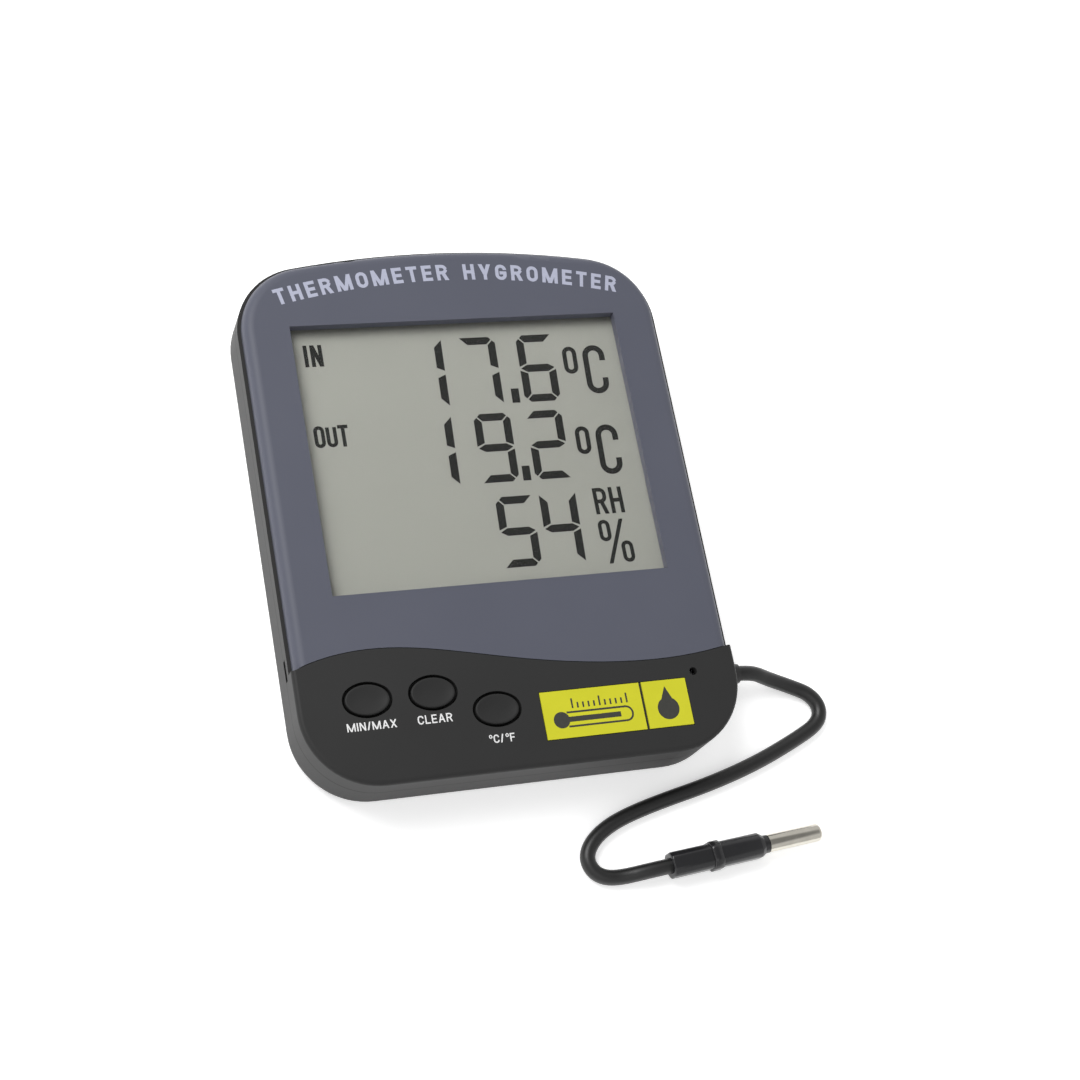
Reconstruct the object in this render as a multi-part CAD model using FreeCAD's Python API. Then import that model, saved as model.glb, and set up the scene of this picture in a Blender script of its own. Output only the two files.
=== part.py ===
"""Digital maximum minimum thermometer with a hygrometer and a corded outside probe.

The instrument lies on its back. X runs across it, Y up its face and Z out of its display.
The origin is under the middle of the case, on the surface that the back rests on.
"""
import FreeCAD, Part
import math
import os

os.makedirs("parts", exist_ok=True)
V = FreeCAD.Vector

# ---- case -------------------------------------------------------------------------------
CASE_WIDTH = 95.0
CASE_HEIGHT = 119.0
CASE_DEPTH = 17.0
CORNER_RADIUS = 16.0
CROWN_RADIUS = 217.5          # the top edge is a shallow crown
PARTING_Z = 10.75             # where the two shells meet
WALL = 2.0
RIB_HEIGHT = 2.0
FACE_WALL = 1.8
REAR_EDGE_RADIUS = 4.0
FACE_EDGE_RADIUS = 1.0
LIP_HEIGHT = 1.2              # tongue of the front shell inside the rear cover
SEAM_GAP = 0.1
FIT_GAP = 0.15

# ---- fascia and window ------------------------------------------------------------------
FASCIA_RISE = 3.0
FASCIA_INSET = 0.8
FASCIA_EDGE_RADIUS = 2.4
FASCIA_PLATE = 2.1
WAVE_ENDS = (25.3, 21.7)      # the wavy edge's height at the left and right, from the bottom edge
WAVE_POINTS = ((-28.0, 28.1), (-3.0, 23.85), (26.0, 20.1))
PEG_RADIUS = 0.9              # locating pegs under the fascia
PEG_INSET = 8.0
WINDOW_SIDE_MARGIN = 10.7
WINDOW_BASE = 40.1            # from the case's bottom edge
WINDOW_TOP_MARGIN = 17.9
LENS_THICKNESS = 1.15
LENS_LAP = 1.8
LENS_GAP = 0.05

# ---- display module ---------------------------------------------------------------------
DISPLAY_STACK = 4.6           # from the board to the face of the glass
GLASS = 1.2
GLASS_LAP_X = 1.4
GLASS_LAP_Y = 1.9
LEDGE = 2.2                   # contact ledge of the front glass
REFLECTOR = 0.2
FRAME_WALL = 1.0
STRIP_WIDTH = 1.7
STRIP_INSET = 1.5
BOARD_THICKNESS = 1.2
CHIP_PLACE = (-8.0, 22.0)
CHIP_RADIUS = 6.5
CHIP_HEIGHT = 1.5

# ---- buttons ----------------------------------------------------------------------------
BUTTON_LENGTH = 9.2
BUTTON_WIDTH = 6.4
BUTTON_GAP = 0.6
BUTTON_PROUD = 0.3
BUTTON_TRAVEL = 0.5
BUTTON_FLANGE = 0.8
BUTTON_DISH = 0.35
FLANGE_LAP = 0.5
COLLAR_WALL = 0.8
STEM_RADIUS = 1.5
BUTTONS = {"min_max": (-33.1, 17.7), "clear": (-19.4, 17.8), "unit": (-6.6, 13.0)}
SWITCH_SIZE = 6.0
SWITCH_HEIGHT = 3.4
PLUNGER_RADIUS = 1.75
PLUNGER_GAP = 0.08
PLUNGER_RISE = 1.1
PLUNGER_DEPTH = 0.5

# ---- label and sensor -------------------------------------------------------------------
LABEL_X = (2.85, 35.2)
LABEL_Y = (5.3, 15.4)         # from the case's bottom edge
LABEL_SPLIT = 25.0
LABEL_GAP = 0.6
LABEL_RECESS = 0.25
LABEL_PROUD = 0.1
SENSOR_HOLE = 0.85
SENSOR_INSET_X = 10.0
SENSOR_Y = 16.7
SIDE_VENT_Y = (24.6, 29.0)    # breathing notch in the left side

# ---- battery ----------------------------------------------------------------------------
CELL_RADIUS = 5.25
CELL_LENGTH = 44.5
CELL_CENTRE_Y = 29.85         # from the case's bottom edge
CELL_GAP = 0.3
CONTACT_PLATE = 0.4
SPRING_ROOM = 4.6
SPRING_TURNS = 3
SPRING_RADIUS = 3.6
SPRING_TAPER = 1.4
SPRING_WIRE = 0.5
BAY_WALL = 1.35
DOOR_THICKNESS = 1.5
DOOR_LEDGE = 0.9
DOOR_CORNER = 0.8

# ---- folding stand ----------------------------------------------------------------------
STAND_THICKNESS = 2.4
STAND_ARM = 4.5
STAND_PIVOT_Y = 12.0          # from the case's bottom edge
STAND_LENGTH = 44.0
STAND_GAP = 0.3
STAND_PIN_RADIUS = 1.0
STAND_PIN_LENGTH = 1.6
PIN_CLEARANCE = 0.05
CHANNEL_FLOOR = 1.5

# ---- fixings, vents and hanger ----------------------------------------------------------
BOSS_RADIUS = 3.0
BOSS_INSET_X = 11.0
BOSS_INSET_BASE = 7.5
BOSS_INSET_TOP = 10.5
BOSS_MEET_Z = 7.0
CASE_SCREW = {"shank": 1.2, "head": 2.4, "head_height": 1.6, "length": 8.0, "recess": 3.5}
BOARD_SCREW = {"shank": 0.9, "head": 1.7, "head_height": 1.1, "length": 2.8}
BOARD_POST_RADIUS = 2.0
VENT_START = 16.0             # from the case's bottom edge
VENT_COUNT = 8
VENT_PITCH = 2.5
VENT_WIDTH = 1.2
VENT_LENGTH = 6.0
KEYHOLE_RADIUS = 4.0
KEYHOLE_SLOT = 2.1
KEYHOLE_DROP = 18.5           # from the case's top edge to the entry hole
KEYHOLE_RISE = 6.0

# ---- outside probe ----------------------------------------------------------------------
CORD_RADIUS = 1.65
CORD_Y = 18.2                 # from the case's bottom edge
CORD_Z = 5.6
CORD_REST_Z = 1.67
LEAD_RADIUS = 0.5
GROMMET_LENGTH = 5.0
BOOT_LENGTH = 23.0
BOOT_RADIUS = 2.95
BOOT_FLAT = 2.65              # half the width across the boot's flats
COLLAR_RADIUS = 3.35
COLLAR_START = 9.2
COLLAR_WIDTH = 2.2
TIP_RADIUS = 1.95
TIP_LENGTH = 12.6
PROBE_Z = 3.4
PROBE_TURN = 4.8              # degrees from X towards Y

BASE_Y = -CASE_HEIGHT / 2
TOP_Y = CASE_HEIGHT / 2
HALF_WIDTH = CASE_WIDTH / 2
RIM_Z = CASE_DEPTH - FASCIA_RISE
LENS_TOP_Z = CASE_DEPTH - FASCIA_PLATE - LENS_GAP
LENS_UNDER_Z = LENS_TOP_Z - LENS_THICKNESS
DISPLAY_TOP_Z = LENS_UNDER_Z - SEAM_GAP
BOARD_TOP_Z = DISPLAY_TOP_Z - DISPLAY_STACK
WINDOW_X = HALF_WIDTH - WINDOW_SIDE_MARGIN
WINDOW_Y = (BASE_Y + WINDOW_BASE, TOP_Y - WINDOW_TOP_MARGIN)
GLASS_X = WINDOW_X + GLASS_LAP_X
GLASS_Y = (WINDOW_Y[0] - GLASS_LAP_Y, WINDOW_Y[1] + GLASS_LAP_Y)
FRAME_X = GLASS_X + FIT_GAP + FRAME_WALL
FRAME_Y = (GLASS_Y[0] - FIT_GAP - FRAME_WALL, GLASS_Y[1] + FIT_GAP + FRAME_WALL)
GLASS_BACK_Z = DISPLAY_TOP_Z - 2 * GLASS
BOARD_UNDER_Z = BOARD_TOP_Z - BOARD_THICKNESS
SWITCH_TOP_Z = BOARD_TOP_Z + SWITCH_HEIGHT
FLANGE_TOP_Z = CASE_DEPTH - FACE_WALL - SEAM_GAP
CELL_Z = DOOR_THICKNESS + CELL_GAP + CELL_RADIUS
CELL_Y = BASE_Y + CELL_CENTRE_Y
BAY_X = (CELL_LENGTH + SPRING_ROOM + 2 * CONTACT_PLATE) / 2 + CELL_GAP
BAY_HALF = CELL_RADIUS + CELL_GAP
PIVOT_Y = BASE_Y + STAND_PIVOT_Y
PIVOT_Z = FIT_GAP + STAND_THICKNESS / 2
ARM_X = BAY_X + BAY_WALL + STAND_GAP
CHANNEL_DEPTH = STAND_THICKNESS + 2 * FIT_GAP
BOSS_X = HALF_WIDTH - BOSS_INSET_X
BOSS_Y = (BASE_Y + BOSS_INSET_BASE, TOP_Y - BOSS_INSET_TOP)
PROBE_START = V(28.8, BASE_Y - 21.1, PROBE_Z)
CORD_EXIT = V(HALF_WIDTH + GROMMET_LENGTH, BASE_Y + CORD_Y, CORD_Z)
# the cord lies as it was dropped: (x from the case's middle, y from its bottom edge, z)
CORD_ROUTE = (
    (55.9, CORD_Y, CORD_Z), (60.4, 16.9, 3.3), (66.2, 15.0, CORD_REST_Z), (70.2, 12.9, CORD_REST_Z),
    (72.0, 9.6, CORD_REST_Z), (70.7, 6.1, CORD_REST_Z), (64.9, 3.2, CORD_REST_Z),
    (54.2, -1.1, CORD_REST_Z), (42.2, -4.5, CORD_REST_Z), (30.2, -6.9, CORD_REST_Z),
    (21.0, -9.3, CORD_REST_Z), (15.8, -11.7, CORD_REST_Z), (12.7, -14.4, CORD_REST_Z),
    (11.5, -17.2, CORD_REST_Z), (12.5, -20.0, CORD_REST_Z), (14.9, -21.5, CORD_REST_Z),
    (18.6, -21.8, CORD_REST_Z),
)


def box(x, y, z):
    """A block between three pairs of limits."""
    return Part.makeBox(x[1] - x[0], y[1] - y[0], z[1] - z[0], V(x[0], y[0], z[0]))


def rod(radius, centre, bottom, top):
    """An upright cylinder over the point centre = (x, y)."""
    return Part.makeCylinder(radius, top - bottom, V(centre[0], centre[1], bottom))


def plate(half_length, y, z, radius):
    """A block centred on X whose upright edges are rounded."""
    block = box((-half_length, half_length), y, z)
    return block.makeFillet(radius, upright_edges(block))


def upright_edges(solid):
    """The straight edges of a solid that stand along Z."""
    return [e for e in solid.Edges if abs(e.tangentAt(e.FirstParameter).z) > 0.999]


def low_corners(solid):
    """The upright edges of a block on the side nearest the case's bottom edge."""
    return [e for e in upright_edges(solid) if e.BoundBox.YMax < solid.BoundBox.Center.y]


def high_corners(solid):
    """The upright edges of a block on the side nearest the case's top edge."""
    return [e for e in upright_edges(solid) if e.BoundBox.YMin > solid.BoundBox.Center.y]


def button_oval(centre, grow, bottom, top):
    """An upright prism on a button's outline, a four arc oval made larger all round by grow."""
    half_length, half_width = BUTTON_LENGTH / 2, BUTTON_WIDTH / 2
    end = 0.8 * half_width
    end_x = half_length - end
    side = (end_x ** 2 + half_width ** 2 - end ** 2) / (2 * (half_width - end))
    side_y = side - half_width
    lean = math.atan2(side_y, end_x)

    def arc(x, y, radius, start, finish):
        angles = (start, (start + finish) / 2, finish)
        return Part.Arc(*[V(centre[0] + x + (radius + grow) * math.cos(a),
                            centre[1] + y + (radius + grow) * math.sin(a), bottom) for a in angles])

    arcs = [arc(end_x, 0, end, -lean, lean), arc(0, -side_y, side, lean, math.pi - lean),
            arc(-end_x, 0, end, math.pi - lean, math.pi + lean),
            arc(0, side_y, side, math.pi + lean, 2 * math.pi - lean)]
    return Part.Face(Part.Wire([a.toShape() for a in arcs])).extrude(V(0, 0, top - bottom))


def case_prism(inset, bottom, top):
    """The case's outline, drawn in by inset, as an upright prism."""
    half = HALF_WIDTH - inset
    low = BASE_Y + inset
    corner = CORNER_RADIUS - inset
    crown = CROWN_RADIUS - inset
    crown_y = TOP_Y - CROWN_RADIUS
    corner_x = HALF_WIDTH - CORNER_RADIUS
    corner_y = crown_y + math.sqrt((crown - corner) ** 2 - corner_x ** 2)
    lean = math.atan2(corner_y - crown_y, corner_x)
    touch = V(crown * math.cos(lean), crown_y + crown * math.sin(lean), bottom)
    middle = (lean / 2, -math.pi / 4)

    def on_corner(centre_y, angle, side):
        return V(side * (corner_x + corner * math.cos(angle)), centre_y + corner * math.sin(angle), bottom)

    low_y = low + corner
    right = [on_corner(low_y, -math.pi / 2, 1), on_corner(low_y, middle[1], 1), V(half, low_y, bottom),
             V(half, corner_y, bottom), on_corner(corner_y, middle[0], 1), touch]
    left = [V(-p.x, p.y, p.z) for p in right]
    summit = V(0, TOP_Y - inset, bottom)
    curves = [Part.Arc(*right[:3]), Part.LineSegment(right[2], right[3]), Part.Arc(*right[3:]),
              Part.Arc(touch, summit, left[5]), Part.Arc(left[5], left[4], left[3]),
              Part.LineSegment(left[3], left[2]), Part.Arc(left[2], left[1], left[0]),
              Part.LineSegment(left[0], right[0])]
    wire = Part.Wire([c.toShape() for c in curves])
    return Part.Face(wire).extrude(V(0, 0, top - bottom))


def rim_edges(solid, z):
    """Every edge of a solid that lies flat at height z."""
    return [e for e in solid.Edges if abs(e.BoundBox.ZMin - z) < 1e-4 and abs(e.BoundBox.ZMax - z) < 1e-4]


def round_rim(solid, z, radius):
    """Rounds a solid's edges at height z."""
    return solid.makeFillet(radius, rim_edges(solid, z))


def bevel_rim(solid, z, width):
    """Chamfers a solid's edges at height z."""
    return solid.makeChamfer(width, rim_edges(solid, z))


def below_wave(drop, bottom, top):
    """The part of the face under the fascia's wavy lower edge, moved down by drop."""
    edge = HALF_WIDTH - FASCIA_INSET
    ends = ((-edge, WAVE_ENDS[0]), (edge, WAVE_ENDS[1]))
    points = [V(x, BASE_Y + y - drop, bottom) for x, y in (ends[0],) + WAVE_POINTS + (ends[1],)]
    reach = CASE_WIDTH
    wave = Part.BSplineCurve()
    wave.interpolate(points)
    left, right = points[0], points[-1]
    low = BASE_Y - reach
    corners = [right, V(reach, right.y, bottom), V(reach, low, bottom), V(-reach, low, bottom),
               V(-reach, left.y, bottom), left]
    edges = [wave.toShape()] + [Part.LineSegment(a, b).toShape() for a, b in zip(corners, corners[1:])]
    return Part.Face(Part.Wire(edges)).extrude(V(0, 0, top - bottom))


def boss_places():
    """Where the four case screws stand."""
    return [(side * BOSS_X, y) for side in (-1, 1) for y in BOSS_Y]


def board_screw_places():
    """Where the four screws hold the circuit board to the front shell."""
    beside_bay = (BAY_X + BAY_WALL + WINDOW_X) / 2 + 1.6
    above_frame = FRAME_Y[1] + 3.0
    halves = ((beside_bay, CELL_Y + 1.0), (20.0, above_frame))
    return [(side * x, y) for x, y in halves for side in (-1, 1)]


def screw(sizes, centre, seat):
    """A pan head screw, driven from below, whose head rests on the plane at height seat."""
    under = seat - sizes["head_height"]
    head = bevel_rim(rod(sizes["head"], centre, under, seat), under, sizes["head_height"] * 0.4)
    shank = rod(sizes["shank"], centre, seat, seat + sizes["length"])
    return head.fuse(shank).cut(cross_recess(sizes, centre, under))


def cross_recess(sizes, centre, under):
    """The cross cut into a screw's head from height under."""
    arm = sizes["head"] * 0.6
    slot = sizes["head"] * 0.13
    depth = (under - 1, under + sizes["head_height"] * 0.5)
    x, y = centre
    return box((x - arm, x + arm), (y - slot, y + slot), depth).fuse(
        box((x - slot, x + slot), (y - arm, y + arm), depth))


def stand_outline(grow, bottom, top):
    """The U of the folding stand, made larger all round by grow."""
    outer_x = ARM_X + STAND_ARM + grow
    inner_x = ARM_X - grow
    heel = PIVOT_Y - STAND_THICKNESS / 2 - grow
    toe = PIVOT_Y + STAND_LENGTH + grow
    outer = box((-outer_x, outer_x), (heel, toe), (bottom, top))
    outer = outer.makeFillet(3.0 + grow, high_corners(outer))
    bridge = toe - STAND_ARM - 1.5 - 2 * grow
    inner = box((-inner_x, inner_x), (heel - 10.0, bridge), (bottom - 1, top + 1))
    return outer.cut(inner.makeFillet(2.5, high_corners(inner)))


def rear_cover():
    """The rear shell: battery bay, stand channel, bosses, vents, keyhole and cord hole."""
    shell = round_rim(case_prism(0, 0, PARTING_Z), 0, REAR_EDGE_RADIUS)
    inside = bevel_rim(case_prism(WALL, WALL, PARTING_Z + 1), WALL, REAR_EDGE_RADIUS - WALL)
    shell = shell.cut(inside)
    shell = shell.cut(case_prism(WALL / 2, PARTING_Z - LIP_HEIGHT - SEAM_GAP, PARTING_Z + 1))
    room = case_prism(WALL / 2 + 0.2, 0.5, PARTING_Z)
    channel = stand_outline(STAND_GAP + CHANNEL_FLOOR, WALL / 2, CHANNEL_DEPTH + CHANNEL_FLOOR)
    shell = shell.fuse(channel.common(room))
    shell = shell.fuse(battery_bay_block())
    for x, y in boss_places():
        shell = shell.fuse(rod(BOSS_RADIUS + 0.8, (x, y), WALL / 2, BOSS_MEET_Z).common(room))
    pivot_block_x = ARM_X + STAND_ARM + STAND_GAP + STAND_PIN_LENGTH + 1.2
    for side in (-1, 1):
        limits = sorted((side * (ARM_X + STAND_ARM), side * pivot_block_x))
        block = box(limits, (PIVOT_Y - 2.6, PIVOT_Y + 2.6), (WALL / 2, CHANNEL_DEPTH + CHANNEL_FLOOR))
        shell = shell.fuse(block)
    rib_y = (PIVOT_Y + STAND_LENGTH + 3, TOP_Y - KEYHOLE_DROP - 6)
    for rib_x in (-18.0, -6.0, 6.0, 18.0):
        shell = shell.fuse(box((rib_x - 0.5, rib_x + 0.5), rib_y, (WALL / 2, WALL + RIB_HEIGHT)))
    shell = shell.cut(stand_outline(STAND_GAP, -1, CHANNEL_DEPTH))
    scoop = Part.makeCylinder(7.0, 2 * CHANNEL_DEPTH, V(0, PIVOT_Y + STAND_LENGTH, -CHANNEL_DEPTH))
    shell = shell.cut(scoop.common(box((-20, 20), (BASE_Y, TOP_Y), (-1, 1.3))))
    shell = shell.cut(battery_bay_space())
    shell = shell.cut(stand_pins(STAND_PIN_RADIUS + PIN_CLEARANCE, STAND_PIN_LENGTH + STAND_GAP + 0.1))
    for x, y in boss_places():
        shell = shell.cut(rod(CASE_SCREW["head"] + 0.3, (x, y), -1, CASE_SCREW["recess"]))
        shell = shell.cut(rod(CASE_SCREW["shank"] + 0.15, (x, y), 0, BOSS_MEET_Z + 1))
    for index in range(VENT_COUNT):
        y = BASE_Y + VENT_START + index * VENT_PITCH
        for side in (-1, 1):
            x = side * (HALF_WIDTH - REAR_EDGE_RADIUS - 0.5 - VENT_LENGTH / 2)
            slot = box((x - VENT_LENGTH / 2, x + VENT_LENGTH / 2), (y, y + VENT_WIDTH), (-1, WALL + 1))
            shell = shell.cut(slot)
    keyhole_y = TOP_Y - KEYHOLE_DROP
    shell = shell.cut(rod(KEYHOLE_RADIUS, (0, keyhole_y), -1, WALL + 1))
    shell = shell.cut(rod(KEYHOLE_SLOT, (0, keyhole_y + KEYHOLE_RISE), -1, WALL + 1))
    slot_y = (keyhole_y, keyhole_y + KEYHOLE_RISE)
    shell = shell.cut(box((-KEYHOLE_SLOT, KEYHOLE_SLOT), slot_y, (-1, WALL + 1)))
    shell = shell.cut(cord_grommet(SEAM_GAP))
    return shell.removeSplitter()


def battery_bay_block():
    """The solid that the battery bay is hollowed from."""
    half = BAY_HALF + BAY_WALL
    block = box((-BAY_X - BAY_WALL, BAY_X + BAY_WALL), (CELL_Y - half, CELL_Y + half),
                (WALL / 2, CELL_Z + BAY_HALF + BAY_WALL * 0.75))
    top = block.BoundBox.ZMax
    long_edges = [e for e in block.Edges if e.BoundBox.XLength > BAY_X and abs(e.BoundBox.ZMin - top) < 1e-4]
    return block.makeFillet(half * 0.62, long_edges)


def battery_bay_space():
    """The bay's hollow with its cradle, the door's seat and the slots for the door's tabs."""
    space = box((-BAY_X, BAY_X), (CELL_Y - BAY_HALF, CELL_Y + BAY_HALF), (-1, CELL_Z))
    space = space.fuse(Part.makeCylinder(BAY_HALF, 2 * BAY_X, V(-BAY_X, CELL_Y, CELL_Z), V(1, 0, 0)))
    seat_x = BAY_X + DOOR_LEDGE
    hinge_side = door_pivot()[1] + DOOR_THICKNESS / 2
    seat_y = (CELL_Y - BAY_HALF - DOOR_LEDGE, hinge_side + FIT_GAP)
    seat = box((-seat_x, seat_x), seat_y, (-1, DOOR_THICKNESS + 0.05))
    space = space.fuse(seat.makeFillet(DOOR_CORNER, low_corners(seat)))
    tab_y = (CELL_Y + BAY_HALF - 0.2, hinge_side + 1.6)
    for x in door_tab_places():
        space = space.fuse(box((x - 3.2, x + 3.2), tab_y, (0.7, DOOR_THICKNESS + 1.8)))
    notch = Part.makeCylinder(4.0, 2.0, V(0, CELL_Y - BAY_HALF - DOOR_LEDGE, -1.0))
    return space.fuse(notch)


def door_pivot():
    """The line that the battery door turns about, as (x, y, z)."""
    return (0.0, CELL_Y + BAY_HALF + DOOR_LEDGE - DOOR_THICKNESS / 2, DOOR_THICKNESS / 2)


def door_tab_places():
    """Where the battery door's two hinge tabs stand across it."""
    return (-BAY_X / 2, BAY_X / 2)


def battery_door():
    """The hinged cover of the battery bay, with a rolled hinge edge and two tabs."""
    half = BAY_X + DOOR_LEDGE - FIT_GAP
    pivot_y, pivot_z = door_pivot()[1:]
    low = CELL_Y - BAY_HALF - DOOR_LEDGE + FIT_GAP
    door = box((-half, half), (low, pivot_y), (0, DOOR_THICKNESS))
    door = door.makeFillet(DOOR_CORNER, low_corners(door))
    door = door.fuse(Part.makeCylinder(DOOR_THICKNESS / 2, 2 * half, V(-half, pivot_y, pivot_z), V(1, 0, 0)))
    tab_y = (pivot_y, pivot_y + DOOR_THICKNESS / 2 + 1.1)
    for x in door_tab_places():
        door = door.fuse(box((x - 3, x + 3), tab_y, (pivot_z + 0.05, DOOR_THICKNESS)))
    for index in range(5):
        y = low + 2.2 + index * 1.1
        door = door.cut(box((-5, 5), (y, y + 0.5), (-1, 0.35)))
    return door.removeSplitter()


def stand_pins(radius, length):
    """The stand's two pivot pins, or the holes for them."""
    outer = ARM_X + STAND_ARM
    pins = [Part.makeCylinder(radius, length + 1.0, V(side * (outer - 1.0), PIVOT_Y, PIVOT_Z), V(side, 0, 0))
            for side in (-1, 1)]
    return pins[0].fuse(pins[1])


def stand():
    """The folding stand: a U that lies flush round the battery door, with moulded pins."""
    leg = stand_outline(0, FIT_GAP, FIT_GAP + STAND_THICKNESS)
    reach = ARM_X + STAND_ARM + 1
    trim = box((-reach, reach), (PIVOT_Y - 10, PIVOT_Y), (-5, 10))
    barrel = Part.makeCylinder(STAND_THICKNESS / 2, 2 * reach, V(-reach, PIVOT_Y, PIVOT_Z), V(1, 0, 0))
    heel = leg.common(trim).common(barrel)
    leg = leg.cut(trim).fuse(heel).fuse(stand_pins(STAND_PIN_RADIUS, STAND_PIN_LENGTH))
    toe = PIVOT_Y + STAND_LENGTH
    for index in range(3):
        y = toe - 4.6 + index * 1.4
        leg = leg.cut(box((-6, 6), (y, y + 0.6), (0, FIT_GAP + 0.4)))
    return leg.removeSplitter()


def front_shell():
    """The front shell: a rim and ledge under the fascia, and the dark face under its wave."""
    upper = case_prism(0, PARTING_Z, RIM_Z)
    lower = round_rim(case_prism(0, PARTING_Z, CASE_DEPTH), CASE_DEPTH, FACE_EDGE_RADIUS)
    lower = lower.common(below_wave(0, PARTING_Z - 1, CASE_DEPTH + 1))
    shell = upper.fuse(lower)
    hollow = case_prism(WALL, PARTING_Z - 1, RIM_Z - FACE_WALL + SEAM_GAP)
    face_hollow = case_prism(WALL, PARTING_Z - 1, CASE_DEPTH - FACE_WALL)
    hollow = hollow.fuse(face_hollow.common(below_wave(FACE_WALL, PARTING_Z - 1, CASE_DEPTH)))
    shell = shell.cut(hollow)
    lip = case_prism(WALL / 2 + SEAM_GAP, PARTING_Z - LIP_HEIGHT, PARTING_Z)
    shell = shell.fuse(lip.cut(case_prism(WALL, PARTING_Z - LIP_HEIGHT - 1, PARTING_Z + 1)))
    opening_y = (FRAME_Y[0] - STAND_GAP, FRAME_Y[1] + STAND_GAP)
    shell = shell.cut(plate(FRAME_X + STAND_GAP, opening_y, (PARTING_Z, RIM_Z + 1), 1.0))
    bay_top = CELL_Z + BAY_HALF + BAY_WALL
    half = BAY_HALF + BAY_WALL + STAND_GAP
    bay_x = BAY_X + BAY_WALL + STAND_GAP
    shell = shell.cut(box((-bay_x, bay_x), (CELL_Y - half, CELL_Y + half), (PARTING_Z, bay_top)))
    for x, y in boss_places():
        ceiling = RIM_Z - 0.5 if y > 0 else CASE_DEPTH - 0.5
        shell = shell.fuse(rod(BOSS_RADIUS, (x, y), BOSS_MEET_Z + SEAM_GAP, ceiling))
        tip = BOSS_MEET_Z + CASE_SCREW["length"] - 1.0
        shell = shell.cut(rod(CASE_SCREW["shank"] + 0.03, (x, y), BOSS_MEET_Z - 1, min(tip, ceiling - 1.0)))
    hole_top = BOARD_TOP_Z + BOARD_SCREW["length"] - 0.6
    for x, y in board_screw_places():
        shell = shell.fuse(rod(BOARD_POST_RADIUS, (x, y), BOARD_TOP_Z, RIM_Z - 1.0))
        shell = shell.cut(rod(BOARD_SCREW["shank"] + 0.03, (x, y), BOARD_TOP_Z - 1, hole_top))
    shell = shell.fuse(button_collars())
    for place in button_places():
        shell = shell.cut(button_oval(place, BUTTON_GAP, RIM_Z, CASE_DEPTH + 1))
    shell = shell.cut(label_outline(FIT_GAP, CASE_DEPTH - LABEL_RECESS, CASE_DEPTH + 1))
    shell = shell.cut(rod(SENSOR_HOLE, sensor_place(), RIM_Z - 2, CASE_DEPTH + 1))
    notch_y = (BASE_Y + SIDE_VENT_Y[0], BASE_Y + SIDE_VENT_Y[1])
    notch_z = (PARTING_Z - LIP_HEIGHT - 1, PARTING_Z + 1.5)
    shell = shell.cut(box((-HALF_WIDTH - 1, -HALF_WIDTH + WALL + 1), notch_y, notch_z))
    for place in fascia_peg_places():
        shell = shell.cut(rod(PEG_RADIUS + SEAM_GAP, place, RIM_Z - FACE_WALL - 1, RIM_Z + 1))
    return shell.removeSplitter()


def button_places():
    """The middle of each button."""
    return [(x, BASE_Y + y) for x, y in BUTTONS.values()]


def button_collars():
    """The guide walls under the face that the buttons' flanges run in."""
    inner = BUTTON_GAP + FLANGE_LAP + STAND_GAP
    ceiling = CASE_DEPTH - FACE_WALL
    walls = [button_oval(place, inner + COLLAR_WALL, RIM_Z + 0.1, ceiling + 0.1) for place in button_places()]
    wells = [button_oval(place, inner, RIM_Z - 1, ceiling) for place in button_places()]
    return walls[0].multiFuse(walls[1:]).cut(wells[0].multiFuse(wells[1:]))


def fascia_peg_places():
    """Where the fascia's four locating pegs drop through the front shell's ledge."""
    x = (FRAME_X + STAND_GAP + HALF_WIDTH - WALL) / 2
    return [(side * x, y) for side in (-1, 1) for y in (WINDOW_Y[0] + PEG_INSET, WINDOW_Y[1] - PEG_INSET)]


def sensor_place():
    """The middle of the small hole that the humidity sensor breathes through."""
    return (HALF_WIDTH - SENSOR_INSET_X, BASE_Y + SENSOR_Y)


def label_outline(grow, bottom, top):
    """The strip of the face that carries the two label plates."""
    across = (LABEL_X[0] - grow, LABEL_X[1] + grow)
    return box(across, (BASE_Y + LABEL_Y[0] - grow, BASE_Y + LABEL_Y[1] + grow), (bottom, top))


def label_plates():
    """Two thin plates set into the face, a long one and a square one."""
    strip = label_outline(0, CASE_DEPTH - LABEL_RECESS, CASE_DEPTH + LABEL_PROUD)
    between = (LABEL_SPLIT - LABEL_GAP / 2, LABEL_SPLIT + LABEL_GAP / 2)
    return strip.cut(box(between, (BASE_Y, 0), (CASE_DEPTH - 1, CASE_DEPTH + 1)))


def fascia():
    """The blue grey fascia: crowned outline, wavy lower edge, window and lens rebate."""
    body = round_rim(case_prism(FASCIA_INSET, RIM_Z, CASE_DEPTH), CASE_DEPTH, FASCIA_EDGE_RADIUS)
    body = body.cut(below_wave(-FIT_GAP, RIM_Z - 1, CASE_DEPTH + 1))
    body = body.cut(box((-WINDOW_X, WINDOW_X), WINDOW_Y, (RIM_Z - 1, CASE_DEPTH + 1)))
    pocket_top = CASE_DEPTH - FASCIA_PLATE
    rebate = lens_block(SEAM_GAP, RIM_Z - 1, pocket_top)
    rim = lens_block(2.0, RIM_Z - 1, RIM_Z + 0.9)
    pocket = case_prism(FASCIA_INSET + 2.4, RIM_Z - 1, RIM_Z + 0.9)
    pocket = pocket.cut(below_wave(-2.0, RIM_Z - 2, CASE_DEPTH)).cut(rim)
    body = body.cut(pocket).cut(rebate)
    for place in fascia_peg_places():
        body = body.fuse(rod(PEG_RADIUS, place, RIM_Z - FACE_WALL + 0.2, RIM_Z + 1.5))
    return body.removeSplitter()


def lens_block(grow, bottom, top):
    """The window lens's outline as a block."""
    reach = LENS_LAP + grow
    return plate(WINDOW_X + reach, (WINDOW_Y[0] - reach, WINDOW_Y[1] + reach), (bottom, top), 1.0)


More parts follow.
